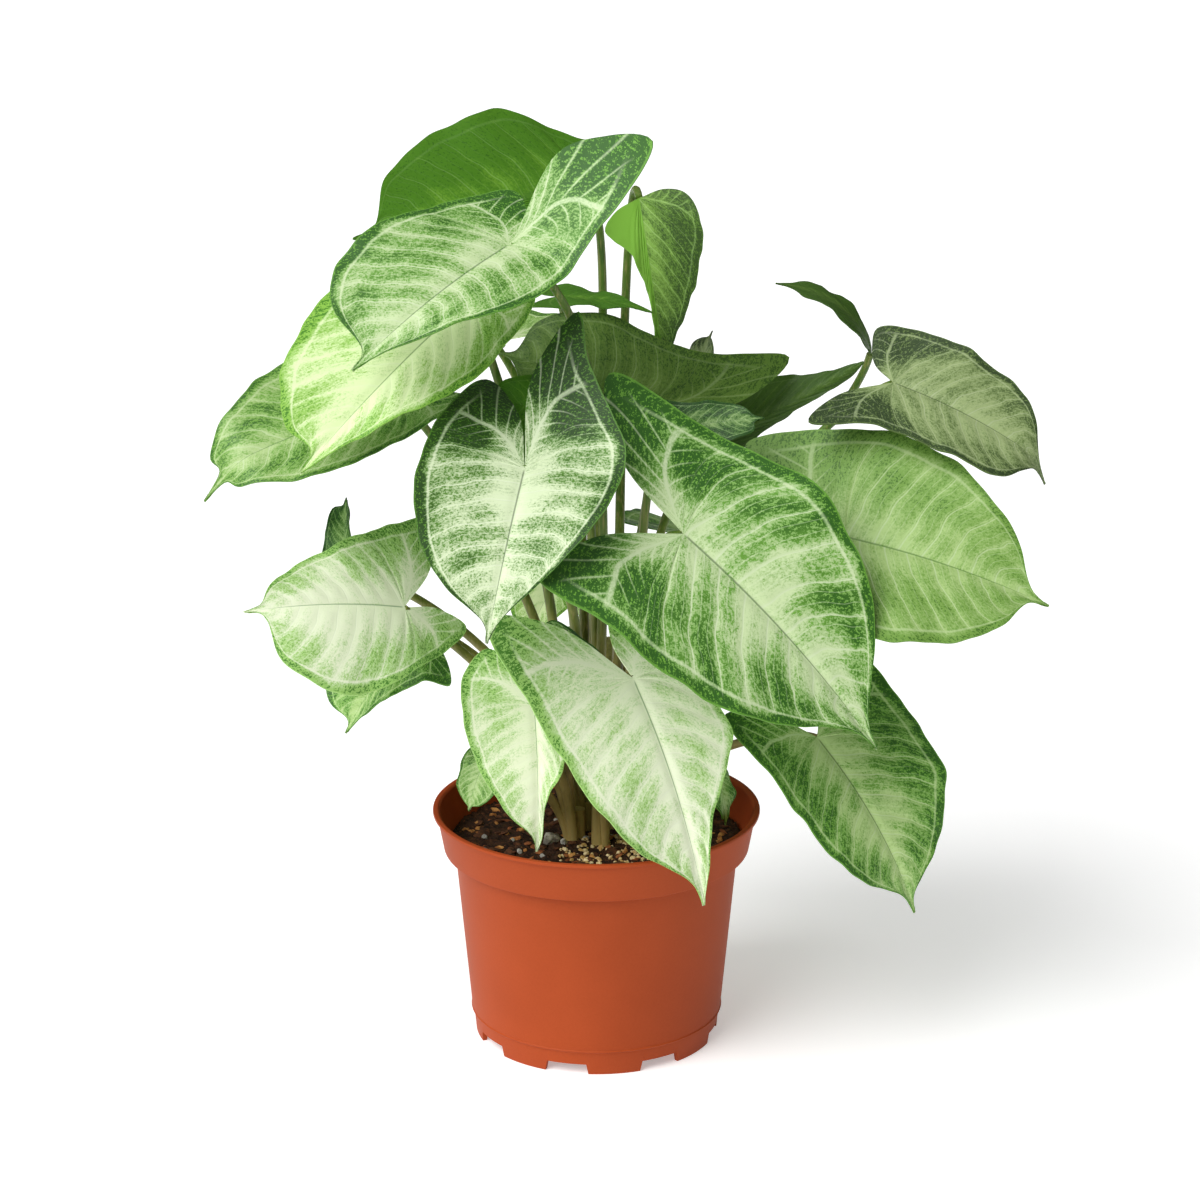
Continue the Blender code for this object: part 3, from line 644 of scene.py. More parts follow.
def smooth_line(points):
    """A fine line along the centripetal curve through the given points."""
    ends = np.array([2 * points[0] - points[1], *points, 2 * points[-1] - points[-2]])
    line = [ends[1][None, :]]
    for p0, p1, p2, p3 in zip(ends, ends[1:], ends[2:], ends[3:]):
        k1, k2, k3 = np.cumsum([np.linalg.norm(q - p) ** 0.5 + 1e-6
                                for p, q in ((p0, p1), (p1, p2), (p2, p3))])
        k = k1 + (k2 - k1) * np.arange(1, OUTLINE_STEPS + 1)[:, None] / OUTLINE_STEPS
        a1 = p0 + (p1 - p0) * k / k1
        a2 = p1 + (p2 - p1) * (k - k1) / (k2 - k1)
        a3 = p2 + (p3 - p2) * (k - k2) / (k3 - k2)
        b1 = a1 + (a2 - a1) * k / k2
        b2 = a2 + (a3 - a2) * (k - k1) / (k3 - k1)
        line.append(b1 + (b2 - b1) * (k - k1) / (k2 - k1))
    return np.concatenate(line)


def walk(line, share):
    """Points at shares of the line's length."""
    steps = np.linalg.norm(np.diff(line, axis=0), axis=1)
    far = np.concatenate([[0.0], np.cumsum(steps)]) / steps.sum()
    return np.stack([np.interp(share, far, line[:, axis]) for axis in (0, 1)], axis=-1)


def half_outline(leaf, side):
    """The lobe's inner edge from the sinus, and the outer margin on to the tip."""
    margin = leaf["left"] if side > 0 else leaf.get("right", leaf["left"])
    points = [np.array(p, float) for p in margin]
    length = leaf["length"]
    ear = leaf.get("ears", (EAR, EAR))[0 if side > 0 else 1]
    lobe = points[0]
    inner = 0.55 * lobe + ear * np.array([-lobe[1], lobe[0]])
    near_tip = np.array([length * (1 - TIP_BACK), length * TIP_HALF_WIDTH])
    line = smooth_line([np.zeros(2), inner, *points, near_tip, np.array([length, 0.0])])
    return line[:2 * OUTLINE_STEPS + 1], line[2 * OUTLINE_STEPS:]


print("outline points of one half:", len(half_outline(LEAVES[0], 1)[1]))

# %% [markdown]
# A blade is a flat grid that is laid out like the leaf's own veins: its rows run from the
# midrib to the margin, and in the lobes they fan out from the sinus. Because of that the
# grid's UV map follows the veins, and the pattern of the leaf can be painted with it. The
# blade is quilted a little between its side veins, and its midrib lies in a groove. Small
# leaves are flatter, so relief and ripple shrink with the length.

# %% The blade's surface
VISUAL_THICKNESS = 0.7
SIDE_VEINS = 13.0
VEIN_SWEEP = 0.09
VEIN_SHIFT = 0.2
SEED_STEP = 7.31
QUILT = 0.55
RIPPLE = 0.6
RIPPLE_COUNTS = (4.7, 10.3)
MARGIN_WAVES = 2.5
FINE_WAVES = 6.3
FINE_WAVE_SHARE = 0.005
MIDRIB_GROOVE = 0.9
FULL_LENGTH = 100
ROWS_PER_MM = 0.8
FEWEST_ROWS = 30
BLADE_COLUMNS = 26


def flat_places(leaf, side, s, t):
    """Places in the leaf's plane for rows s and columns t."""
    inner_edge, margin = half_outline(leaf, side)
    edge = walk(margin, s)
    rib = np.zeros_like(edge)
    rib[:, 0] = leaf["length"] * np.maximum(0.0, (s - FAN_SHARE) / (1 - FAN_SHARE))
    outward = edge - rib
    turn = leaf["heading"] + side
    slow, quick = RIPPLE_COUNTS
    ripple = np.sin(math.tau * slow * s + turn) + 0.4 * np.sin(math.tau * quick * s - turn)
    ripple *= RIPPLE * min(1.0, leaf["length"] / FULL_LENGTH) ** 2
    ripple *= np.sqrt(np.clip(np.sin(math.pi * s), 0.0, 1.0)) * t ** 3
    ripple /= np.maximum(np.linalg.norm(outward, axis=1), 6.0)
    place = rib + outward * (t + ripple)[:, None]
    bow = walk(inner_edge, t) - inner_edge[-1] * t[:, None]
    return place + bow * (np.maximum(0.0, 1 - s / FAN_SHARE) ** 2)[:, None]


def smoothstep(value, low, high):
    """Zero below low, one above high, and smooth between."""
    share = np.clip((value - low) / (high - low), 0.0, 1.0)
    return share * share * (3 - 2 * share)


def vein_relief(place, s, t, seed):
    """The quilting between the side veins and the groove of the midrib."""
    row = (s - VEIN_SWEEP * t * t) * SIDE_VEINS + seed
    away = np.abs(row - np.round(row)) * 2
    veins = -QUILT * np.exp(-(away / 0.28) ** 2)
    veins *= smoothstep(t, 0.0, 0.2) * (1 - smoothstep(t, 0.75, 0.95)) * smoothstep(s, 0.1, 0.3)
    groove = -MIDRIB_GROOVE * np.exp(-(place[:, 1] / 2.2) ** 2) * smoothstep(place[:, 0], -6, 6)
    return veins + groove


def relief(leaf, place, side, s, t):
    """How far the blade stands over its flat plane."""
    length = leaf["length"]
    x, y = place[:, 0], place[:, 1]
    u = x / length
    height = 4 * leaf["arch"] * u * np.where(u > 0, 1 - u, 1.0)
    height += leaf.get("fold", FOLD) * np.abs(y)
    lift = leaf.get("lifts", NO_LIFTS)[0 if side > 0 else 1]
    height += lift * np.maximum(0.0, -2 * u) ** 1.5
    hook = np.maximum(0.0, (u - HOOK_START) / (1 - HOOK_START))
    height -= leaf.get("hook", 0) * hook ** 2
    wave = EDGE_WAVE * np.sin(math.tau * MARGIN_WAVES * s + side * 1.3 + leaf["heading"])
    fine = np.sin(math.tau * FINE_WAVES * s + side * 2.1 + leaf["heading"])
    fine *= FINE_WAVE_SHARE * length
    return height + (wave + fine * t * t) * t * t * np.sin(math.pi * s)


def blade(leaf, number):
    """The blade as a thin closed shell, with its UV map along the veins."""
    rows = max(FEWEST_ROWS, int(leaf["length"] * ROWS_PER_MM))
    nothing_selected()
    bpy.ops.mesh.primitive_grid_add(x_subdivisions=rows, y_subdivisions=2 * BLADE_COLUMNS,
                                    size=1.0, calc_uvs=True)
    thing = new_piece("blade" + leaf["name"][4:])
    grid = get_coordinates(thing) * MM
    s, across = grid[:, 0] + 0.5, grid[:, 1] * 2
    t = np.abs(across)
    along, left, out = (np.array(axis) for axis in leaf_axes(leaf))
    places = np.zeros_like(grid)
    for side in (1, -1):
        mine = across >= 0 if side > 0 else across < 0
        flat = flat_places(leaf, side, s[mine], t[mine])
        height = relief(leaf, flat, side, s[mine], t[mine])
        veins = vein_relief(flat, s[mine], t[mine], number * SEED_STEP % 1.0 + side * VEIN_SHIFT)
        height += veins * min(1.0, leaf["length"] / FULL_LENGTH)
        places[mine] = (np.array(leaf["at"]) + np.outer(flat[:, 0], along)
                        + np.outer(side * flat[:, 1], left) + np.outer(height, out))
    set_coordinates(thing, places)
    merge_doubles(thing)
    shell = thing.modifiers.new("thickness", "SOLIDIFY")
    shell.thickness = VISUAL_THICKNESS * MM
    shell.offset = -1.0
    shell.material_offset = 1
    apply_all(thing)
    smooth_shade(thing, 60)
    return thing


blades = {leaf["name"]: blade(leaf, number) for number, leaf in enumerate(LEAVES)}
print("blades", len(blades), "faces", sum(len(b.data.polygons) for b in blades.values()))

# %% [markdown]
# The blade is pale along its veins and green between them. The green isn't a wash: it is
# made of countless specks that grow denser toward the margin and the lobes. The pattern
# uses the UV map, where U runs from the lobe's tip to the leaf's tip and V runs across,
# so it bends with the veins of every blade. A look says how pale and how green a leaf is.

# %% Looks of the leaves
LOOKS = {
    "cream": dict(pale=rgb(212, 228, 178), green=rgb(136, 182, 80), dark=rgb(44, 92, 28),
                  cover=0.16, margin=0.55, lobes=0.25, specks=0.80, veins=0.70),
    "muted": dict(pale=rgb(176, 200, 138), green=rgb(108, 156, 60), dark=rgb(36, 84, 24),
                  cover=0.30, margin=0.50, lobes=0.20, specks=0.80, veins=0.60),
    "lobed": dict(pale=rgb(200, 220, 168), green=rgb(106, 160, 58), dark=rgb(26, 76, 18),
                  cover=0.29, margin=0.50, lobes=0.40, specks=0.95, veins=0.70),
    "night": dict(pale=rgb(214, 229, 188), green=rgb(88, 136, 46), dark=rgb(18, 48, 12),
                  cover=0.20, margin=0.55, lobes=0.75, specks=1.00, veins=0.80),
    "lime": dict(pale=rgb(224, 242, 184), green=rgb(140, 192, 76), dark=rgb(54, 118, 24),
                 cover=0.08, margin=0.50, lobes=0.35, specks=0.50, veins=0.50),
    "fresh": dict(pale=rgb(162, 190, 120), green=rgb(112, 152, 66), dark=rgb(58, 100, 28),
                  cover=0.34, margin=0.45, lobes=0.15, specks=0.40, veins=0.65),
    "soft": dict(pale=rgb(240, 248, 216), green=rgb(160, 204, 112), dark=rgb(52, 116, 28),
                 cover=0.06, margin=0.60, lobes=0.35, specks=0.45, veins=0.45),
    "dull": dict(pale=rgb(150, 168, 114), green=rgb(98, 120, 66), dark=rgb(30, 50, 22),
                 cover=0.28, margin=0.45, lobes=0.45, specks=0.95, veins=0.50),
    "back": dict(pale=rgb(118, 148, 70), green=rgb(84, 116, 42), dark=rgb(44, 76, 20),
                 cover=0.50, margin=0.25, lobes=0.15, specks=0.45, veins=0.35),
    "plain": dict(pale=rgb(108, 158, 44), green=rgb(72, 124, 22), dark=rgb(50, 98, 12),
                  cover=0.70, margin=-0.30, lobes=0.10, specks=0.20, veins=0.22),
    "dark": dict(pale=rgb(150, 182, 112), green=rgb(66, 112, 42), dark=rgb(24, 60, 18),
                 cover=0.45, margin=0.45, lobes=0.35, specks=0.90, veins=0.60),
    "deep": dict(pale=rgb(186, 214, 142), green=rgb(108, 162, 62), dark=rgb(32, 82, 20),
                 cover=0.32, margin=0.45, lobes=0.40, specks=0.75, veins=0.65),
    # Painted light and shade: the folded look's dark tones stand for the shaded half of the fold,
    # and its extra green is a painted lit colour for the other half.
    "folded": dict(pale=rgb(132, 172, 76), green=rgb(82, 118, 40), dark=rgb(40, 66, 18),
                   cover=0.55, margin=0.20, lobes=0.10, specks=0.75, veins=0.35,
                   painted_lit_half=rgb(122, 176, 60)),
    "under": dict(pale=rgb(80, 110, 38), green=rgb(58, 90, 22), dark=rgb(44, 74, 18),
                  cover=0.60, margin=0.10, lobes=0.10, specks=0.20, veins=0.12),
}
LOOK_OF = {
    "leaf_top_front": "lobed", "leaf_upper_left": "lime", "leaf_far_left": "muted",
    "leaf_centre": "night", "leaf_big_right": "lobed", "leaf_front_low": "soft",
    "leaf_front_small": "soft", "leaf_right": "fresh", "leaf_back_right": "dull",
    "leaf_twisted": "under", "leaf_dark_under": "under", "leaf_behind_centre": "back",
    "leaf_small_dark": "dark", "leaf_top_back": "plain", "leaf_top_folded": "folded",
    "leaf_thin": "plain", "leaf_grey_tip": "dull", "leaf_curled": "dark",
    "leaf_left_low": "soft", "leaf_left_behind": "deep", "leaf_gap": "plain",
    "leaf_low_right": "deep", "leaf_pot_right": "deep", "leaf_pot_left": "muted",
    "leaf_dark_low": "dark", "leaf_pale_left": "lime", "leaf_pale_right": "lime",
    "leaf_rear_left": "cream", "leaf_rear_right": "deep", "leaf_rear_low": "lobed",
}
print("looks", len(LOOKS))

# %% [markdown]
# Veins are thin lines that repeat along the blade. The fraction of a slanted and slightly
# wavering U gives one line for each side vein, and three times as fast it gives the finer
# ones. In the lobes the lines branch off one vein instead. A mask is one on its vein and
# fades to zero beside it, and the halo is the same line, only wide.

# %% The veins as masks
LOBE_VEIN = 0.10
RIM_VEIN = 0.87
WOBBLE = 0.045
RIM_WOBBLE = 0.06
FINE_PER_VEIN = 3
VEIN_WIDTHS = (("side", 1, 0.09), ("halo", 1, 0.80), ("fine", FINE_PER_VEIN, 0.20))


def vein_masks(finish, s, t, side, seed):
    """How near a point is to the side veins, the lobe's veins and the margin's vein."""
    there = finish.place(finish.times(s, 5.0), finish.times(t, 2.5), finish.total(seed, side))
    phase = finish.total(finish.times(side, VEIN_SHIFT), seed % 1.0 + 0.5)
    wobble = finish.less(finish.noise(there, 1.0, 1.0), 0.5)
    row = finish.less(s, finish.times(t, t, VEIN_SWEEP))
    row = finish.total(row, finish.times(wobble, WOBBLE))
    nearer = finish.total(0.65, finish.times(t, 1.2))
    masks = {"row": row, "wobble": wobble}
    in_blade = finish.fade(s, 0.20, 0.32)
    inside = finish.fade(t, 0.84, 0.93, 1.0, 0.0)
    for name, finer, width in VEIN_WIDTHS:
        beat = finish.total(finish.times(row, SIDE_VEINS * finer), phase)
        mask = finish.fade(finish.times(finish.off_line(beat), nearer), 0.0, width, 1.0, 0.0)
        masks[name] = finish.times(mask, in_blade, inside)
    off_lobe = finish.gap(row, LOBE_VEIN)
    off_branch = finish.off_line(finish.less(finish.times(t, 7.0), finish.times(off_lobe, 15.0)))
    lobe_veins = finish.most(finish.fade(off_lobe, 0.003, 0.011, 1.0, 0.0),
                             finish.fade(off_branch, 0.0, 0.20, 0.8, 0.0))
    in_lobe = finish.fade(s, 0.14, 0.26, 1.0, 0.0)
    masks["lobe"] = finish.times(lobe_veins, finish.times(in_lobe, inside),
                                 finish.fade(t, 0.05, 0.2))
    wide = finish.most(finish.fade(off_branch, 0.0, 0.6, 0.8, 0.0),
                       finish.fade(off_lobe, 0.0, 0.05, 1.0, 0.0))
    masks["halo"] = finish.most(masks["halo"], finish.times(wide, in_lobe, inside))
    off_rim = finish.gap(t, finish.total(RIM_VEIN, finish.times(wobble, RIM_WOBBLE)))
    masks["rim"] = finish.times(finish.fade(off_rim, 0.002, 0.022, 1.0, 0.0),
                                finish.fade(s, 0.02, 0.15))
    return masks


# %% The green between the veins
CLEARED_BY = {"halo": -0.26, "side": -0.20, "fine": -0.14, "lobe": -0.30, "rim": -0.30}


def green_cover(finish, look, s, t, masks, seed):
    """How green each place is, from nothing to all."""
    there = finish.place(finish.times(masks["row"], 7.0), finish.times(t, 2.0), seed + 3.0)
    patch = finish.noise(there, 1.0, 2.0)
    in_lobe = finish.times(finish.fade(s, 0.02, 0.42, 1.0, 0.0), finish.fade(t, 0.10, 0.75))
    ragged = finish.total(t, finish.fade(patch, 0.3, 0.7, -0.03, 0.03))
    return finish.total(
        look["cover"],
        finish.times(finish.fade(ragged, 0.87, 0.98), look["margin"]),
        finish.times(in_lobe, look["lobes"]),
        finish.fade(t, 0.05, 0.70, -0.10, 0.26),
        finish.fade(patch, 0.3, 0.7, -0.24, 0.24),
        *(finish.times(masks[name], amount) for name, amount in CLEARED_BY.items()))


# %% The upper face's finish
VEIN_SHARES = {"side": 1.0, "lobe": 0.7, "fine": 0.35, "rim": 0.5}


def leaf_grid(finish):
    """Place along the margin, signed place off the midrib, its size and its side."""
    across = finish.split(finish.coordinate("UV"))
    from_rib = finish.less(finish.times(across[1], 2.0), 1.0)
    return across[0], from_rib, finish.math("ABSOLUTE", from_rib), finish.math("SIGN", from_rib)


def leaf_finish(name, look, seed):
    """The speckled, veined upper face of a leaf."""
    finish = Finish(name, roughness=0.5, specular=0.3)
    s, from_rib, t, side = leaf_grid(finish)
    here = finish.coordinate("Object")
    masks = vein_masks(finish, s, t, side, seed)
    cover = green_cover(finish, look, s, t, masks, seed)
    there = finish.place(finish.times(masks["row"], 150.0), finish.times(t, 24.0),
                         finish.total(finish.times(side, 5.0), seed))
    streak = finish.noise(there, 1.0, 2.0, 0.6)
    grain = finish.noise(here, 1150.0, 2.0, 0.7)
    specks = finish.total(finish.times(streak, 0.5), finish.times(grain, 0.5))
    specks = finish.fade(specks, 0.36, 0.64)
    wash = finish.fade(finish.total(cover, finish.times(specks, 0.42)), 0.02, 0.95)
    dense = finish.math("MINIMUM", finish.times(cover, look["specks"]), 0.80)
    hard = finish.fade(finish.total(dense, specks), 0.98, 1.07)
    speck = finish.mix(finish.fade(cover, 0.25, 0.80), look["green"], look["dark"])
    colour = finish.mix(wash, look["pale"], look["green"])
    colour = finish.mix(finish.times(hard, 0.85), colour, speck)
    veins = finish.most(*(finish.times(masks[vein], share * look["veins"])
                          for vein, share in VEIN_SHARES.items()))
    line = tuple(0.8 * part + 0.16 for part in look["pale"][:3]) + (1.0,)
    colour = finish.mix(veins, colour, line)
    # Painted shade: a thin dark line along the midrib stands for the shade in its groove.
    midrib = finish.times(finish.fade(t, 0.004, 0.013, 1.0, 0.0),
                          finish.fade(s, FAN_SHARE, FAN_SHARE + 0.02))
    colour = finish.mix(finish.times(midrib, 0.6), colour, look["dark"])
    edge = finish.fade(t, 0.982, 0.992)
    colour = finish.mix(finish.times(edge, 0.7), colour, look["green"])
    # Painted light and shade: one half of the folded leaf turns to the lighter, lit green with pale
    # side veins, and the other half keeps the darker, shaded tones.
    if "painted_lit_half" in look:
        painted_lit_colour = finish.mix(masks["side"], look["painted_lit_half"], look["pale"])
        colour = finish.mix(finish.fade(from_rib, -0.02, 0.02, 1.0, 0.0), colour, painted_lit_colour)
    finish.colour(colour)
    height = finish.less(finish.times(grain, 0.5), finish.times(masks["side"], 0.6))
    finish.bump(height, 0.2, 0.0004)
    return finish.material


# %% [markdown]
# The underside shows the same veins in a paler and duller tone. It is a material of its
# own, and the Solidify modifier's material offset has already put it on the lower wall.

# %% The underside's finish


def underside_finish(name, look, seed):
    """Paler and duller, with the veins showing through."""
    finish = Finish(name, roughness=0.6, specular=0.25)
    s, from_rib, t, side = leaf_grid(finish)
    masks = vein_masks(finish, s, t, side, seed)
    grain = finish.noise(finish.coordinate("Object"), 300.0, 3.0, 0.6)
    base = tuple(0.62 * p + 0.38 * g for p, g in zip(look["pale"], look["green"]))
    shade = tuple(0.8 * g for g in look["green"][:3]) + (1.0,)
    colour = finish.mix(finish.fade(grain, 0.3, 0.8), base, shade)
    veins = finish.most(masks["side"], finish.fade(t, 0.01, 0.03, 1.0, 0.0))
    finish.colour(finish.mix(finish.times(veins, 0.5), colour, look["pale"]))
    finish.bump(veins, 0.4, 0.0006)
    return finish.material


for number, leaf in enumerate(LEAVES):
    look = LOOKS[LOOK_OF[leaf["name"]]]
    piece = blades[leaf["name"]]
    seed = number * SEED_STEP
    give_finish(piece, leaf_finish(piece.name, look, seed),
                underside_finish(piece.name + "_under", look, seed))
    dress(piece, "leaves", leaf["name"])
print("finished", len(LEAVES), "blades")

# %% [markdown]
# ## Stems and petioles
# The petioles of one stem stand close round its core at the soil. Each curves up and
# outward, narrows a little, and meets its blade at the sinus. A Bezier curve with a round
# bevel makes such a tapered tube, and it becomes a mesh when its shape is right.

# %% The petioles' finish


def stalk_finish():
    """Olive brown, greener toward the blades and tan near the soil."""
    finish = Finish("stalk", roughness=0.45, specular=0.4)
    here = finish.coordinate("Object")
    x, y, height = finish.split(here)
    cloud = finish.noise(here, 60.0, 3.0, 0.6)
    there = finish.place(finish.times(x, 900.0), finish.times(y, 900.0), finish.times(height, 25.0))
    ribs = finish.noise(there, 1.0, 2.0)
    low = finish.mix(finish.fade(cloud, 0.35, 0.7), rgb(112, 100, 48), rgb(156, 134, 80))
    high = finish.mix(finish.fade(cloud, 0.3, 0.7), rgb(70, 104, 26), rgb(98, 130, 40))
    colour = finish.mix(finish.fade(height, 0.13, 0.30), low, high)
    colour = finish.mix(finish.fade(height, 0.108, 0.135, 0.7, 0.0), colour, rgb(182, 158, 96))
    colour = finish.mix(finish.fade(ribs, 0.45, 0.75, 0.0, 0.5), colour, rgb(168, 156, 98))
    finish.colour(colour)
    finish.bump(ribs, 0.3, 0.0004)
    return finish.material


stalk = stalk_finish()
print("stalk finish:", len(stalk.node_tree.nodes), "nodes")

# %% The stems with their petioles
STEM_RADIUS = 3.4
STEM_FOOT = 62.0
STEM_TOP = 120.0
PETIOLE_BASE_RADIUS = 2.7
PETIOLE_TOP_RADIUS = 1.9
PETIOLE_ROOT_DEPTH = 6
PETIOLE_RISE = 0.45
SAG_BELOW = 0.18
SAG_BEHIND = 0.10
SEAT = 1.4
FAN = 4.4


def petiole(leaf):
    """A tapered tube from beside the stem's core to just under the blade at its sinus."""
    along, left, out = leaf_axes(leaf)
    root = STEMS[leaf["stem"]]
    end = Vector(leaf["at"]) - out * SEAT
    outward = Vector((end.x - root[0], end.y - root[1], 0.0)).normalized()
    start = Vector((root[0], root[1], SOIL_LEVEL - PETIOLE_ROOT_DEPTH)) + outward * FAN
    reach = (end - start).length
    under = -SAG_BELOW * reach * out - SAG_BEHIND * reach * along
    under += Vector(leaf.get("bend", (0, 0, 0)))
    nothing_selected()
    bpy.ops.curve.primitive_bezier_curve_add()
    tube = new_piece(leaf["name"] + "_petiole")
    curve = tube.data
    curve.resolution_u = 36
    curve.bevel_depth = MM
    curve.bevel_resolution = 4
    curve.use_fill_caps = True
    first, last = curve.splines[0].bezier_points
    rise = Vector((0, 0, PETIOLE_RISE * reach))
    for point, place, handle in ((first, start, start + rise), (last, end, end + under)):
        point.handle_left_type = point.handle_right_type = "FREE"
        point.co = place * MM
        other = place * 2 - handle
        point.handle_right = (handle if point is first else other) * MM
        point.handle_left = (other if point is first else handle) * MM
    first.radius, last.radius = PETIOLE_BASE_RADIUS, PETIOLE_TOP_RADIUS
    only(tube)
    bpy.ops.object.convert(target="MESH")
    settle(tube)
    return tube


def stem(name, place):
    """The stem's core: a cylinder from its hole in the soil to a little over the soil."""
    nothing_selected()
    middle = Vector((*place, (STEM_TOP + STEM_FOOT) / 2)) * MM
    bpy.ops.mesh.primitive_cylinder_add(vertices=32, radius=STEM_RADIUS * MM,
                                        depth=(STEM_TOP - STEM_FOOT) * MM, location=middle)
    return new_piece(name)


stalks = {}
for name, place in STEMS.items():
    tubes = [petiole(leaf) for leaf in LEAVES if leaf["stem"] == name]
    body = stem(name, place)
    settle(body)
    piece = join_pieces(name.replace("stem", "stalks"), [body] + tubes)
    give_finish(piece, stalk)
    smooth_shade(piece, 50)
    dress(piece, "stems", name)
    stalks[name] = piece
print("stalks", {name: len(piece.data.polygons) for name, piece in stalks.items()})

# %% [markdown]
# ## The soil
# Potting mix is dark and crumbly, with bark chips, a few lumps of perlite and pale grit.
# A fine grid is drawn out to a disc, pushed up and down by noise, and its border is pulled
# down inside the pot's wall. Of each kind of crumb a few shapes are modelled and copied
# with a seeded draw, so they land in the same places each time.

# %% The soil's surface
from mathutils import noise

SOIL_GRID = 150
SOIL_BUMP = 2.2
SOIL_RIM_HEIGHT = BAND_FOOT_HEIGHT + 2.2


def soil_height(x, y):
    """Height of the soil's surface over a point, in millimetres."""
    coarse = noise.noise(Vector((x / 16.0, y / 16.0, 3.7)))
    fine = noise.noise(Vector((x / 6.0, y / 6.0, 9.1)))
    mound = 2.0 * math.exp(-(x * x + y * y) / 900.0)
    return SOIL_LEVEL + mound + SOIL_BUMP * (0.7 * coarse + 0.5 * fine)


def crumbs(x, y):
    """Lumps and crumbs on the soil."""
    lump = noise.noise(Vector((x / 2.6, y / 2.6, 1.3)))
    crumb = noise.noise(Vector((x / 1.2, y / 1.2, 5.9)))
    return 1.5 * abs(lump) + 0.9 * crumb


def soil_disc():
    """The crumbly disc with its side pulled down into the pot."""
    nothing_selected()
    bpy.ops.mesh.primitive_grid_add(x_subdivisions=SOIL_GRID, y_subdivisions=SOIL_GRID, size=2.0)
    thing = new_piece("potting_mix")
    grid = get_coordinates(thing) * MM
    reach = np.abs(grid[:, :2]).max(axis=1)
    length = np.maximum(np.linalg.norm(grid[:, :2], axis=1), 1e-9)
    flat = grid[:, :2] * (reach / length * SOIL_TOP_RADIUS)[:, None]
    places = np.array([(x, y, soil_height(x, y) + crumbs(x, y)) for x, y in flat])
    rim = reach > 0.9999
    places[rim, 2] = SOIL_RIM_HEIGHT
    set_coordinates(thing, places)
    only(thing)
    bpy.ops.object.mode_set(mode="EDIT")
    bpy.ops.mesh.select_mode(type="VERT")
    bpy.ops.mesh.select_all(action="DESELECT")
    bpy.ops.mesh.select_non_manifold()
    radius, level = SOIL_TOP_RADIUS, SOIL_RIM_HEIGHT
    for next_radius, next_level in ((WALL_TOP_RADIUS - WALL - 0.6, BAND_FOOT_HEIGHT - 0.6),
                                    (SEAM_RADIUS - WALL - 0.5, SEAM_HEIGHT + 0.6),
                                    (FOOT_RADIUS - WALL - 0.6, SOIL_BOTTOM)):
        bpy.ops.mesh.extrude_edges_move()
        share = next_radius / radius
        bpy.ops.transform.resize(value=(share, share, 1.0), center_override=(0.0, 0.0, 0.0))
        bpy.ops.transform.translate(value=(0.0, 0.0, (next_level - level) * MM))
        radius, level = next_radius, next_level
    bpy.ops.mesh.edge_face_add()
    bpy.ops.object.mode_set(mode="OBJECT")
    face_outward(thing)
    return thing


soil = soil_disc()
print("soil faces", len(soil.data.polygons))

# %% The soil's finish


def soil_finish():
    """Dark brown mix with tan and orange crumbs."""
    finish = Finish("potting mix", roughness=0.85, specular=0.2)
    here = finish.coordinate("Object")
    lumps = finish.noise(here, 260.0, 4.0, 0.6)
    crumb = finish.noise(here, 700.0, 3.0, 0.6)
    colour = finish.mix(finish.fade(lumps, 0.35, 0.65), rgb(34, 20, 13), rgb(70, 44, 28))
    colour = finish.mix(finish.fade(crumb, 0.60, 0.68, 0.0, 0.7), colour, rgb(126, 78, 44))
    finish.colour(colour)
    finish.bump(crumb, 0.6, 0.001)
    return finish.material


give_finish(soil, soil_finish())
smooth_shade(soil, 60)
dress(soil, "soil", "soil")
print("soil finish:", soil.data.materials[0].name)

# %% [markdown]
# A crumb is an ico sphere with its corners pushed about, flattened a little or a lot. It
# has few faces, so hundreds of them stay a small mesh. Bark is flat, and perlite and grit
# are rounder.

# %% Bark, perlite and grit
draw = np.random.default_rng(11)
OPEN_SOIL = SOIL_TOP_RADIUS - 5
CRUMB_LIFT = 0.3


def crumb_shape(size, flatness, rough):
    """A small rough lump: an ico sphere whose corners are pushed about."""
    nothing_selected()
    bpy.ops.mesh.primitive_ico_sphere_add(subdivisions=2, radius=1.0)
    thing = new_piece("crumb")
    places = get_coordinates(thing) * MM
    places *= 1 + rough * draw.standard_normal((len(places), 1))
    places *= np.array([1.0, 0.65, flatness]) * size
    set_coordinates(thing, places)
    return thing


def crumb_finish(name, first, second):
    """Two tones of the same crumb."""
    finish = Finish(name, roughness=0.8, specular=0.25)
    here = finish.coordinate("Object")
    tone = finish.noise(here, 240.0, 3.0, 0.6)
    finish.colour(finish.mix(finish.fade(tone, 0.4, 0.6), first, second))
    finish.bump(finish.noise(here, 1200.0, 2.0, 0.6), 0.5, 0.0005)
    return finish.material


def scatter(name, form, kinds, count, scales, tones, radius=OPEN_SOIL, centre=(0, 0),
            lift=CRUMB_LIFT):
    """Copies of a few shapes lying on the soil, joined into one piece."""
    shapes = [crumb_shape(*form) for _ in range(kinds)]
    copies = []
    for number in range(count):
        copy = bpy.data.objects.new(name, shapes[number % kinds].data.copy())
        bpy.context.scene.collection.objects.link(copy)
        turn = draw.uniform(0, math.tau)
        away = radius * math.sqrt(draw.uniform(0.0, 1.0))
        x = centre[0] + away * math.cos(turn)
        y = centre[1] + away * math.sin(turn)
        scale = draw.uniform(*scales)
        copy.location = Vector((x, y, soil_height(x, y) + lift * scale)) * MM
        copy.rotation_euler = draw.uniform((-0.5, -0.5, 0.0), (0.5, 0.5, math.tau))
        copy.scale = (scale,) * 3
        settle(copy)
        copies.append(copy)
    for shape in shapes:
        bpy.data.objects.remove(shape, do_unlink=True)
    piece = join_pieces(name, copies)
    give_finish(piece, crumb_finish(name, *(rgb(*tone) for tone in tones)))
    smooth_shade(piece, 25)
    dress(piece, "soil")
    return piece


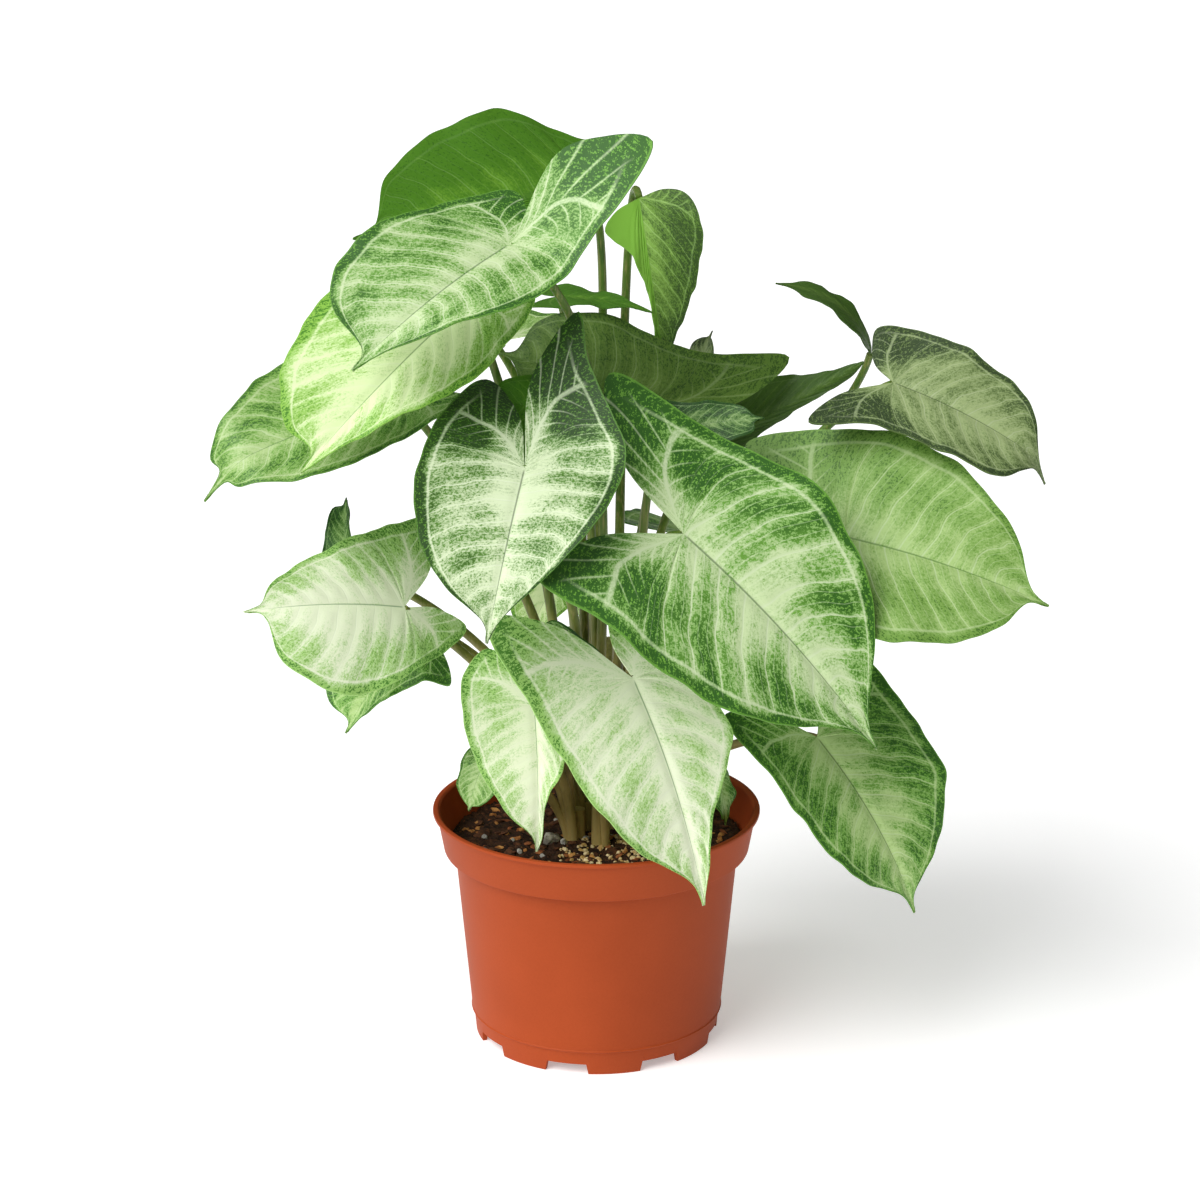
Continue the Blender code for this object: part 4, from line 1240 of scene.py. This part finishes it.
# %% How many crumbs of each kind
CRUMBS = (
    dict(name="bark_dark", form=(3.6, 0.35, 0.14), kinds=4, count=170, scales=(0.5, 1.3),
         tones=((58, 34, 20), (96, 58, 34))),
    dict(name="bark_tan", form=(3.0, 0.4, 0.14), kinds=4, count=90, scales=(0.4, 1.1),
         tones=((150, 94, 48), (196, 140, 78))),
    dict(name="bark_orange", form=(3.4, 0.25, 0.12), kinds=4, count=90, scales=(0.4, 1.1),
         tones=((118, 64, 34), (160, 98, 56))),
    dict(name="perlite_lumps", form=(3.0, 0.8, 0.16), kinds=3, count=3, scales=(1.0, 1.5),
         tones=((118, 112, 102), (176, 170, 158)), radius=3, centre=(-21, -9), lift=1.0),
    dict(name="perlite", form=(2.2, 0.8, 0.10), kinds=3, count=26, scales=(0.4, 1.2),
         tones=((150, 146, 138), (196, 192, 184))),
    dict(name="grit", form=(1.3, 0.8, 0.08), kinds=3, count=170, scales=(0.5, 1.4),
         tones=((190, 152, 92), (232, 210, 164)), radius=24, centre=(4, -24)),
)
crumbs_made = [scatter(**crumb) for crumb in CRUMBS]
print("crumbs", {piece.name: len(piece.data.polygons) for piece in crumbs_made})

# %% [markdown]
# ## The picture
# The plant stands on a plain white floor under soft light. The main light comes from the
# upper left in front, so the pot's right side falls into shade, and the white
# surroundings fill in the rest.

# %% Floor and light
FLOOR_GLOW = 0.36
SUN_STRENGTH = 3.2
SUN_SOFTNESS = math.radians(50)
SUN_TURN = math.radians(-46)
SUN_HEIGHT = math.radians(42)


def white_floor():
    """A plain matt floor that isn't part of the plant."""
    nothing_selected()
    bpy.ops.mesh.primitive_plane_add(size=30.0)
    floor = new_piece("floor")
    finish = Finish("white floor", roughness=0.9, specular=0.1)
    finish.shader.inputs["Base Color"].default_value = (0.9, 0.9, 0.9, 1.0)
    finish.shader.inputs["Emission Color"].default_value = (1.0, 1.0, 1.0, 1.0)
    finish.shader.inputs["Emission Strength"].default_value = FLOOR_GLOW
    give_finish(floor, finish.material)
    return floor


floor = white_floor()
nothing_selected()
bpy.ops.object.light_add(type="SUN", location=(-1.5, -1.3, 1.6))
key = bpy.context.object
key.name = "key"
key.data.energy = SUN_STRENGTH
key.data.angle = SUN_SOFTNESS
key.rotation_euler = (math.pi / 2 - SUN_HEIGHT, 0.0, SUN_TURN)
print("light", key.name)

# %% [markdown]
# The room around the plant is bright overhead and to the left, and dim in front and to
# the right, as in a studio with a white ceiling. The world is white, and its strength
# changes with the direction.

# %% The white room
OVERHEAD = 0.36
LEFTWARD = 0.20
EVERYWHERE = 0.02
world = bpy.data.worlds.new("white room")
bpy.context.scene.world = world
world.use_nodes = True
room = Pattern(world.node_tree)
direction = room.split(room.coordinate("Generated"))
overhead = room.fade(direction[2], 0.25, 0.85, 0.0, OVERHEAD)
leftward = room.fade(direction[0], -0.9, -0.2, LEFTWARD, 0.0)
glow = room.total(overhead, leftward, EVERYWHERE)
background = world.node_tree.nodes["Background"]
background.inputs["Color"].default_value = (1.0, 1.0, 1.0, 1.0)
room.wire(glow, background.inputs["Strength"])
bpy.context.scene.view_settings.view_transform = "Standard"
print("room", len(room.nodes), "nodes")

# %% [markdown]
# The camera stands 1.5 m in front of the pot and looks down a little. Its height, tilt
# and lens were fitted to the pot's lip, seam and foot in the photograph.

# %% The camera
CAMERA_PLACE = (0.0018, -1.5, 0.681)
CAMERA_TILT = 16.81
LENS = 94.95
SENSOR_WIDTH = 36.0
bpy.ops.object.camera_add(location=CAMERA_PLACE,
                          rotation=(math.radians(90 - CAMERA_TILT), 0.0, 0.0))
camera = bpy.context.object
camera.data.lens = LENS
camera.data.sensor_width = SENSOR_WIDTH
bpy.context.scene.camera = camera
print("camera", CAMERA_PLACE)

# %% [markdown]

# %% The end
nothing_selected()
